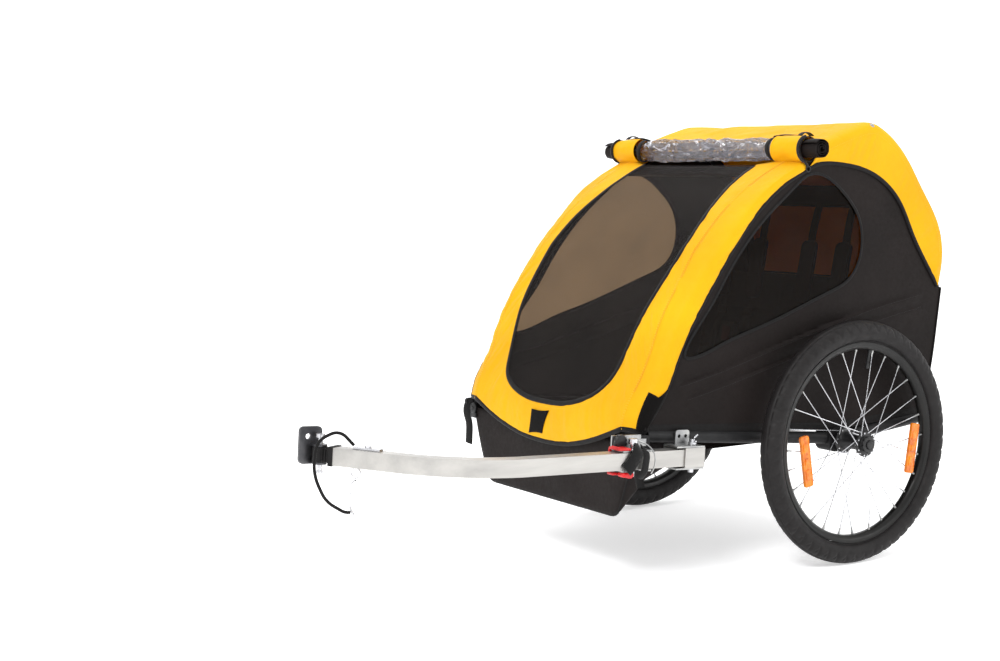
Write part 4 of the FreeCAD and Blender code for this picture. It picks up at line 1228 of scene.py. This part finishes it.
def build_seat():
    plump("seat_back_pad", (-12, -260, 6), (11, 260, 280), "chassis", ["seat_back"], 3.5, on_back,
          [(1, 0, 3.0, 7), (1, -CHILD_Y, 0.8, 40), (1, CHILD_Y, 0.8, 40), (2, 100, 2.2, 6), (2, 190, 2.2, 6)],
          101.0)
    plump("seat_back_band", (-7, -262, 422), (6, 262, 482), "chassis", [], 2.0, on_back, [(2, 452, 0.8, 5)],
          103.0, 8.0)
    plump("seat_base_pad", (-166, -266, 277), (56, 266, 297), "chassis", ["seat_base"], 3.0, None,
          [(1, 0, 3.0, 7), (0, -95, 2.0, 6), (0, -25, 2.0, 6)], 105.0)

    webbing = Shape()
    flat = band(24.0, 1.5)

    def strap(points, section=flat, count=40):
        webbing.sweep(on_back(smooth_line(points, count)), section, -SEAT_AXES[0])

    for child in (-CHILD_Y, CHILD_Y):
        for s in (-1, 1):
            y = child + s * 52
            strap([(-14, y, 436), (-17, y, 410), (-19.5, y + s * 1.0, 360), (-16.4, y, 300), (-16.4, y - s * 1, 210),
                   (-17.5, y - s * 12, 160), (-20.5, child + s * 17, 132)])
            strap([(-15.8, child + s * 104, 98), (-17.0, child + s * 80, 101), (-18.5, child + s * 52, 110),
                   (-20, child + s * 24, 116)])
            # the loose end below the adjuster
            strap([(-18.5, y - s * 9, 176), (-23, y - s * 2, 150), (-24, y + s * 3, 112), (-21, y + s * 5, 74)],
                  band(20, 1.2), 24)
            webbing.slab(on_back((-20.5, y - s * 8, 178)), (30, 16, 5), [SEAT_AXES[1], SEAT_AXES[2], -SEAT_AXES[0]],
                         2.0, mat=1)
        strap([(-15.6, child, 10), (-16.6, child, 40), (-18, child, 70), (-20, child, 98)])
    webbing.make("harness_webbing", "webbing_black buckle_plastic", "chassis", "webbing_black",
                 ["harness_straps"])

    for k, child in enumerate((-CHILD_Y, CHILD_Y)):
        for s in (-1, 1):
            y = child + s * 52
            name = "shoulder_pad_%d%s" % (k + 1, "a" if s < 0 else "b")
            pad = Shape()
            rows = []
            outline = corner_outline(22.5, 69, 14, 5)
            for lift, inset in ((-17.6, 3.0), (-18.6, 0.6), (-21.5, -0.4), (-25.5, 0.6), (-27.6, 3.6), (-28.6, 9.0)):
                rows.append([(lift, y + a, 280 + b) for a, b in shrink(outline, inset)])
            last, middle = np.array(rows[-1]), np.array((-29.0, y, 280.0))
            rows = np.array(rows + [last + (middle - last) * t for t in (0.35, 0.7, 0.97)])
            # three sewn lines across
            groove = sum(np.exp(-((rows[..., 2] - z) / 5.0) ** 2) for z in (280, 236, 324))
            rows[..., 0] += np.where(rows[..., 0] < -24, 2.2 * groove, 0)
            start, m = pad.grid(on_back(rows), close_v=True), rows.shape[1]
            pad.cap(start, m)
            pad.cap(start + (len(rows) - 1) * m, m)
            obj = pad.make(name, "seat_cloth", "chassis", "cloth_black",
                           ["shoulder_pads"] if k == 0 and s < 0 else [])


# ---- wheels ----
def at_wheel(points, side):
    """From the wheel's own frame, +Z outwards, to its place."""
    p = np.asarray(points, float)
    return xyz(p[..., 0], side * (WHEEL_Y + p[..., 2]), TYRE_R - side * p[..., 1])


def wheel_way(at, step, side):
    """A step from a point of the wheel's own frame, as it lies in place."""
    return at_wheel(at + step, side) - at_wheel(at, side)


def tread(theta, w):
    """Depth of the tyre's grooves; theta is the angle and w runs from -1 at one bead to 1 at the other."""
    pitch = 2 * math.pi / 56
    a = abs(w)
    depth = 0.0
    shift = 0.25 if w < 0 else -0.25
    lean = 0.9 * (a - 0.28)
    u = (theta / pitch + shift + lean) % 1.0
    if 0.14 < a < 0.60:
        edge = min(1.0, (a - 0.14) / 0.05, (0.60 - a) / 0.08)
        depth = max(depth, 1.9 * edge * math.exp(-((u - 0.5) / 0.12) ** 2))
    v = (theta / pitch + 0.5 - 1.4 * (a - 0.3) + shift) % 1.0
    if 0.34 < a < 0.52:
        depth = max(depth, 1.4 * math.exp(-((v - 0.5) / 0.10) ** 2))
    ring_groove = 1.5 * math.exp(-((a - 0.15) / 0.025) ** 2)
    return max(depth, ring_groove)


def build_wheels():
    for name, side in SIDES.items():
        body = "wheel_" + name
        tyre = Shape()
        # cross-section from bead to bead, as angle round the casing
        phi = np.linspace(-2.62, 2.62, 57)
        count = 672
        theta = turn(count)
        w = phi / 2.62
        radius = 227.0 + 22.7 * np.cos(phi)
        across = 22.6 * np.sin(phi)
        radius = np.maximum(radius, 206.6)
        low = radius < 210
        across = np.where(low & (np.abs(phi) > 2.2), np.sign(phi) * 11.0, across)
        grid = np.empty((count, len(phi), 3))
        for j in range(len(phi)):
            ridge = 0.5 * math.exp(-((abs(w[j]) - 0.80) / 0.012) ** 2)
            ridge += 0.4 * math.exp(-((abs(w[j]) - 0.70) / 0.01) ** 2)
            for i in range(count):
                d = tread(theta[i], w[j]) - ridge
                r = radius[j] - d * math.cos(phi[j])
                z = across[j] - d * math.sin(phi[j])
                grid[i, j] = (r * math.cos(theta[i]), r * math.sin(theta[i]), z)
        tyre.grid(at_wheel(grid, side), close_u=True)
        tyre.make("tyre_tread_" + name, "tyre_rubber", body, "tyre_rubber", ["tyre_" + name])

        rim = Shape()
        profile = [(206.9, -12.0), (206.9, -10.4), (203.5, -10.0), (203.0, 10.0), (206.9, 10.4), (206.9, 12.0),
                   (205.8, 12.6), (204.4, 12.2), (198.4, 11.7), (197.2, 10.8), (192.6, 7.6), (191.2, 4.0),
                   (190.9, 0.0),
                   (191.2, -4.0), (192.6, -7.6), (197.2, -10.8), (198.4, -11.7), (204.4, -12.2), (205.8, -12.6)]
        rim.spin(profile, (0, side * WHEEL_Y, TYRE_R), (0, side, 0), 144)
        rim.make("rim_profile_" + name, "rim_black", body, "rim_black", ["rim_" + name])

        # spokes: crossed, each with a bent head at the flange and a nipple at the rim
        spokes, nipples = Shape(), Shape()
        step = 2 * math.pi / 14
        for flange in (1, -1):
            for i in range(14):
                rim_angle = step * (i + (0.5 if flange < 0 else 0.0))
                forward = 1 if i % 2 else -1
                hub_angle = rim_angle + forward * 2 * step
                z = flange * 29.0
                x, y = 23 * math.cos(hub_angle), 23 * math.sin(hub_angle)
                hub, head = np.array((x, y, z + forward * 2.4)), np.array((x, y, z - forward * 2.6))
                end = np.array((190.2 * math.cos(rim_angle), 190.2 * math.sin(rim_angle), flange * 2.0))
                d = unit(end - hub)
                line = [head, hub - (0, 0, forward * 0.5), hub + d * 2.2, hub + d * 6, end]
                spokes.tube(at_wheel(np.array(line), side), 1.0)
                spokes.spin([(0, 0), (1.9, 0.1), (1.9, 0.8), (0, 1.2)], at_wheel(head, side),
                            wheel_way(head, np.array((0, 0, -forward)), side), 10, closed=False)
                nipples.spin([(0.9, -13), (1.5, -12.6), (1.7, -4), (2.4, -3.4), (2.6, 0.5), (0.4, 0.6)],
                             at_wheel(end, side), wheel_way(end, d, side), 10, closed=False)
        spokes.make("spoke_wires_" + name, "steel_bright", body, "steel_bright", ["spokes_" + name])
        nipples.make("spoke_nipples_" + name, "zinc_steel", body, "steel_bright")

        # hub: barrel, drilled flanges and end caps
        hub = Shape()
        hub.spin([(7.9, -34), (16.4, -34), (17, -33.4), (17, -31.4), (25.2, -31), (26, -30.2), (26, -27.8), (25.2, -27),
                  (18.6, -26), (16.4, -22), (15.2, -10), (15.0, 0), (15.2, 10), (16.4, 22), (18.6, 26), (25.2, 27),
                  (26, 27.8), (26, 30.2), (25.2, 31), (17, 31.4), (17, 33.4), (16.4, 34), (7.9, 34)],
                 (0, side * WHEEL_Y, TYRE_R), (0, side, 0), 64)
        hub.make("hub_shell_" + name, "hub_black", body, "hub_black", ["hub_" + name])

        cap = Shape()
        lobes = 10
        angle = turn(160)
        rows = []
        for r, z, notch in ((8.7, 34.2, 0), (15.2, 34.2, 0.6), (16.6, 35.0, 1), (17.0, 38.2, 1), (16.2, 39.6, 0.8),
                            (14.2, 40.7, 0.3), (12.6, 41.0, 0), (10.2, 40.9, 0), (9.0, 40.2, 0), (8.7, 38.0, 0)):
            dent = 1.7 * notch * np.clip(np.cos(lobes * angle) - 0.35, 0, 1) / 0.65
            rows.append(xyz((r - dent) * np.cos(angle), (r - dent) * np.sin(angle), z))
        cap.grid(at_wheel(np.array(rows), side), close_v=True)
        cap.make("hub_cap_notched_" + name, "cap_plastic", body, "cap_plastic", ["hub_cap_" + name])

        # reflectors: a curved amber bar with a moulded frame and two lens fields
        amber = Shape()
        for angle in (math.radians(189 * -side), math.radians(9 * side)):
            for_x = np.array((math.cos(angle), math.sin(angle), 0.0))
            for_y = np.array((-math.sin(angle), math.cos(angle), 0.0))
            outwards = np.array((0.0, 0.0, 1.0))
            outline = corner_outline(10.8, 52.3, 4.2, 5)
            rows = []
            for z, inset in ((12.4, 0.8), (13.0, 0.0), (17.6, 0.0), (18.5, 0.5), (18.9, 1.4), (18.9, 2.4),
                             (18.2, 3.0), (18.0, 3.4)):
                rows.append([for_x * (REFLECTOR_R + a) + for_y * b + outwards * z for a, b in shrink(outline, inset)])
            rows = np.array(rows)
            middle = for_x * REFLECTOR_R + outwards * 18.0
            spine = middle + for_y * (rows[-1] @ for_y)[:, None]
            rows = np.concatenate([rows, [rows[-1] + (spine - rows[-1]) * t for t in (0.5, 0.98)]])
            amber.cap(amber.grid(at_wheel(rows, side), close_v=True), rows.shape[1])
            for along in (-27.0, 0.0, 27.0):
                at = for_x * REFLECTOR_R + for_y * along + outwards * 18.4
                size = (11.5, 20.0, 1.6) if along else (9.5, 13.0, 2.4)
                amber.slab(at_wheel(at, side), size, [wheel_way(at, v, side) for v in (for_x, for_y, outwards)], 0.7)
        amber.make("reflector_lenses_" + name, "amber", body, "amber", ["reflectors_" + name])

        valve = Shape()
        a = math.radians(79 if side < 0 else 101)
        d = np.array((math.cos(a), -math.sin(a) * side, 0.0))
        base = d * 190.5
        valve.spin([(0, 0), (4.2, 0), (4.2, 2.0), (3.2, 3.4), (3.2, 26), (4.0, 26.4), (4.0, 36), (3.4, 37.6), (0, 38)],
                   at_wheel(base, side), wheel_way(base, -d, side), 16, closed=False)
        valve.make("valve_" + name, "cap_plastic", body, "cap_plastic")


# ---- small things on the cover and the tow bar ----
BAR_REAR = np.array([-386.0, -326.0])
BAR_KNEE = np.array([-950.0, -371.0])
BAR_TIP = np.array([-1092.0, -162.0])
REAR_DIR = unit(BAR_KNEE - BAR_REAR)
TIP_DIR = unit(BAR_TIP - BAR_KNEE)
BAR_TILT = math.atan(0.06)
BAR_Z = 232.0


def on_bar(points):
    """From the tow bar's flat plane to its place."""
    p = np.asarray(points, float)
    c, s = math.cos(BAR_TILT), math.sin(BAR_TILT)
    return xyz(p[..., 0] * c + p[..., 2] * s, p[..., 1], -p[..., 0] * s + p[..., 2] * c + BAR_Z)


def bar_y(x):
    return BAR_REAR[1] + (x - BAR_REAR[0]) * REAR_DIR[1] / REAR_DIR[0]


def build_small_things():
    # corner buckles with hanging tails, under the hem's ends
    buckles, webbing = Shape(), Shape()
    for side in (-1, 1):
        at = np.array((-519.5, side * 288.0, 284.0))
        buckles.spin([(0, 3.2), (9.5, 3.0), (12.2, 1.6), (12.6, -1.5), (11.5, -3.4), (0, -3.6)], at, (-1, 0, 0.1),
                     36, closed=False)
        buckles.spin([(0, 5.4), (4.6, 5.0), (5.6, 3.0), (5.6, 2.0)], at, (-1, 0, 0.1), 24, closed=False)
        buckles.slab(at + (0, side, -15), (26, 12, 6), [(0, 1, 0), (0, 0, 1), (-1, 0, 0)], 2.2)
        # the webbing comes over the buckle from behind and hangs
        line = [(x, side * y, z) for x, y, z in ((-514, 296, 296), (-522, 303, 292), (-526, 306, 276),
                                                 (-523, 302, 254), (-521, 303, 228), (-519, 308, 203))]
        webbing.sweep(smooth_line(line, 40), band(20.0, 1.5), (-0.95, -0.3, 0))
    buckles.make("corner_buckles", "buckle_plastic", "chassis", "buckle_plastic")
    webbing.make("corner_buckle_tails", "webbing_black", "chassis", "webbing_black")

    # snaps at the roof's rear corners
    snaps = Shape()
    for side in (-1, 1):
        snaps.spin([(0, 2.6), (3.0, 2.4), (4.2, 1.4), (5.2, 1.2), (5.6, 0.2), (5.6, -1)], (84, side * 298.5, 895.5),
                   (0.1, side * 0.8, 0.75), 24, closed=False)
    snaps.make("roof_snaps", "zinc_steel", "chassis", "steel_bright")

    # hook-and-loop patch at each lower corner of the front cover, lying on the shoulder and strip
    patch = Shape()
    for side in (1, -1):
        pts = front_edges[side][4:, -17:]
        patch.grid(pts + np.array((-0.25, side * 0.97, 0)) * 1.7)
    patch.make("hook_and_loop_patches", "loop_patch", "front_flap", "cloth_black", thick=1.0)

    # plain woven patch on the hem
    badge = Shape()
    u, v = np.meshgrid(np.linspace(0, 1, 14), np.linspace(0, 1, 14), indexing="ij")
    low = np.array((50, 263)) * (1 - u[..., None]) + np.array((0, 268)) * u[..., None]
    high = np.array((37, 312)) * (1 - u[..., None]) + np.array((-24, 315)) * u[..., None]
    yz = low * (1 - v[..., None]) + high * v[..., None]
    # its four sides curve in a little
    yz[..., 0] += 2.2 * np.sin(np.pi * v) * (2 * u - 1)
    yz[..., 1] += 1.8 * np.sin(np.pi * u) * (1 - 2 * v)
    badge.grid(front_point(yz[..., 0], yz[..., 1], 2.2))
    badge.make("hem_patch", "loop_patch", "front_flap", "cloth_black", thick=0.8)

    # round knob on the front bracket, its stem on the channel's upright
    knob = Shape()
    rows = []
    angle = turn(96)
    for r, h in ((0.1, 0.2), (7, 0.2), (7.5, 2.0), (13.0, 2.6), (14.4, 4.2), (14.4, 9.0), (13.0, 11.0), (8.0, 11.8),
                 (0.1, 12.0)):
        fluted = r - (1.3 if r > 12 else 0.0) * np.clip(np.cos(8 * angle), 0, 1)
        rows.append(xyz(-586.0 + fluted * np.cos(angle), -321.4 - h, 33.0 + fluted * np.sin(angle)))
    knob.grid(on_bar(np.array(rows)), close_v=True)
    knob.make("bracket_knob", "cap_plastic", "chassis", "cap_plastic")

    # red latch: a tongue over the channel with a raised lip, and a foot below it
    latch = Shape()
    yb = bar_y(-590.0)
    for x, y, z, size, bevel in (
            (-597, -3, 22.6, (30, 27, 4.6), 1.5), (-609, -3, 24.4, (5, 24, 6.0), 1.6),
            (-586, -8, -25.2, (25, 19, 9.0), 2.4), (-578, -6, -30.6, (9, 13, 4.0), 1.5),
            (-606, 17.6, -2.6, (7, 3.4, 50.0), 1.2), (-606, 14, 22.6, (7, 8, 4.6), 1.2),
            (-602, 10, -25.2, (14, 15, 5.0), 1.2)):
        latch.slab((x, yb + y, z), size, np.eye(3), bevel)
    latch.verts = [tuple(p) for p in on_bar(np.array(latch.verts))]
    latch.make("latch_arm", "latch_red", "chassis", "latch_red", ["latch_clip"])

    # wide black strap slung over the bar by the bracket, its ends hanging at the outside
    strap = Shape()
    yb = bar_y(-585.0)
    front_run = [(-550, yb + 6, 21.5), (-557, yb - 8, 24), (-567, yb - 20.5, 20), (-578, yb - 23.4, 4),
                 (-589, yb - 23.6, -9), (-596, yb - 23, -16)]
    strap.sweep(on_bar(smooth_line(front_run, 40)), band(25.0, 2.6), (0.2, -0.9, 0.4))
    rear_run = [(-543, yb + 4, 20.6), (-545, yb - 12, 20.6), (-548, yb - 20.5, 10), (-550, yb - 21.5, -6),
                (-553, yb - 20.5, -22), (-555, yb - 12, -34)]
    strap.sweep(on_bar(smooth_line(rear_run, 40)), band(17.0, 1.8), (0.1, -1.0, 0.2))
    strap.make("bar_strap", "webbing_black", "tow_arm", "webbing_black")

    # bent wire that keeps the lock pin on its bracket
    wire = Shape()
    px, py = -565.0, bar_y(-565.0)
    path = [(px + 9.5, py - 3, 36), (px + 20, py - 14, 31), (px + 31, py - 23, 18), (px + 35, py - 25, -2),
            (px + 31, py - 24, -18), (px + 28, py - 23, -24)]
    wire.tube(on_bar(smooth_line(path, 40)), 1.3)
    wire.make("lock_pin_wire", "zinc_steel", "lock_pin", "zinc_steel")

    # ribs on the rubber joint
    ribs = Shape()
    outline = corner_outline(12.6, 12.6, 4.5, 4)
    out = xyz(TIP_DIR[1] * outline[:, 0], -TIP_DIR[0] * outline[:, 0], outline[:, 1])
    for k in range(3):
        x, y = BAR_TIP + TIP_DIR * (12.5 + 5.2 * k)
        ribs.sweep(on_bar(out + (x, y, 0)), band(3.4, 1.6), out / np.linalg.norm(out, axis=1, keepdims=True),
                   closed=True)
    ribs.make("flex_joint_ribs", "rubber_black", "tow_arm", "rubber_black")


build_roll()
build_seat()
build_wheels()
build_small_things()
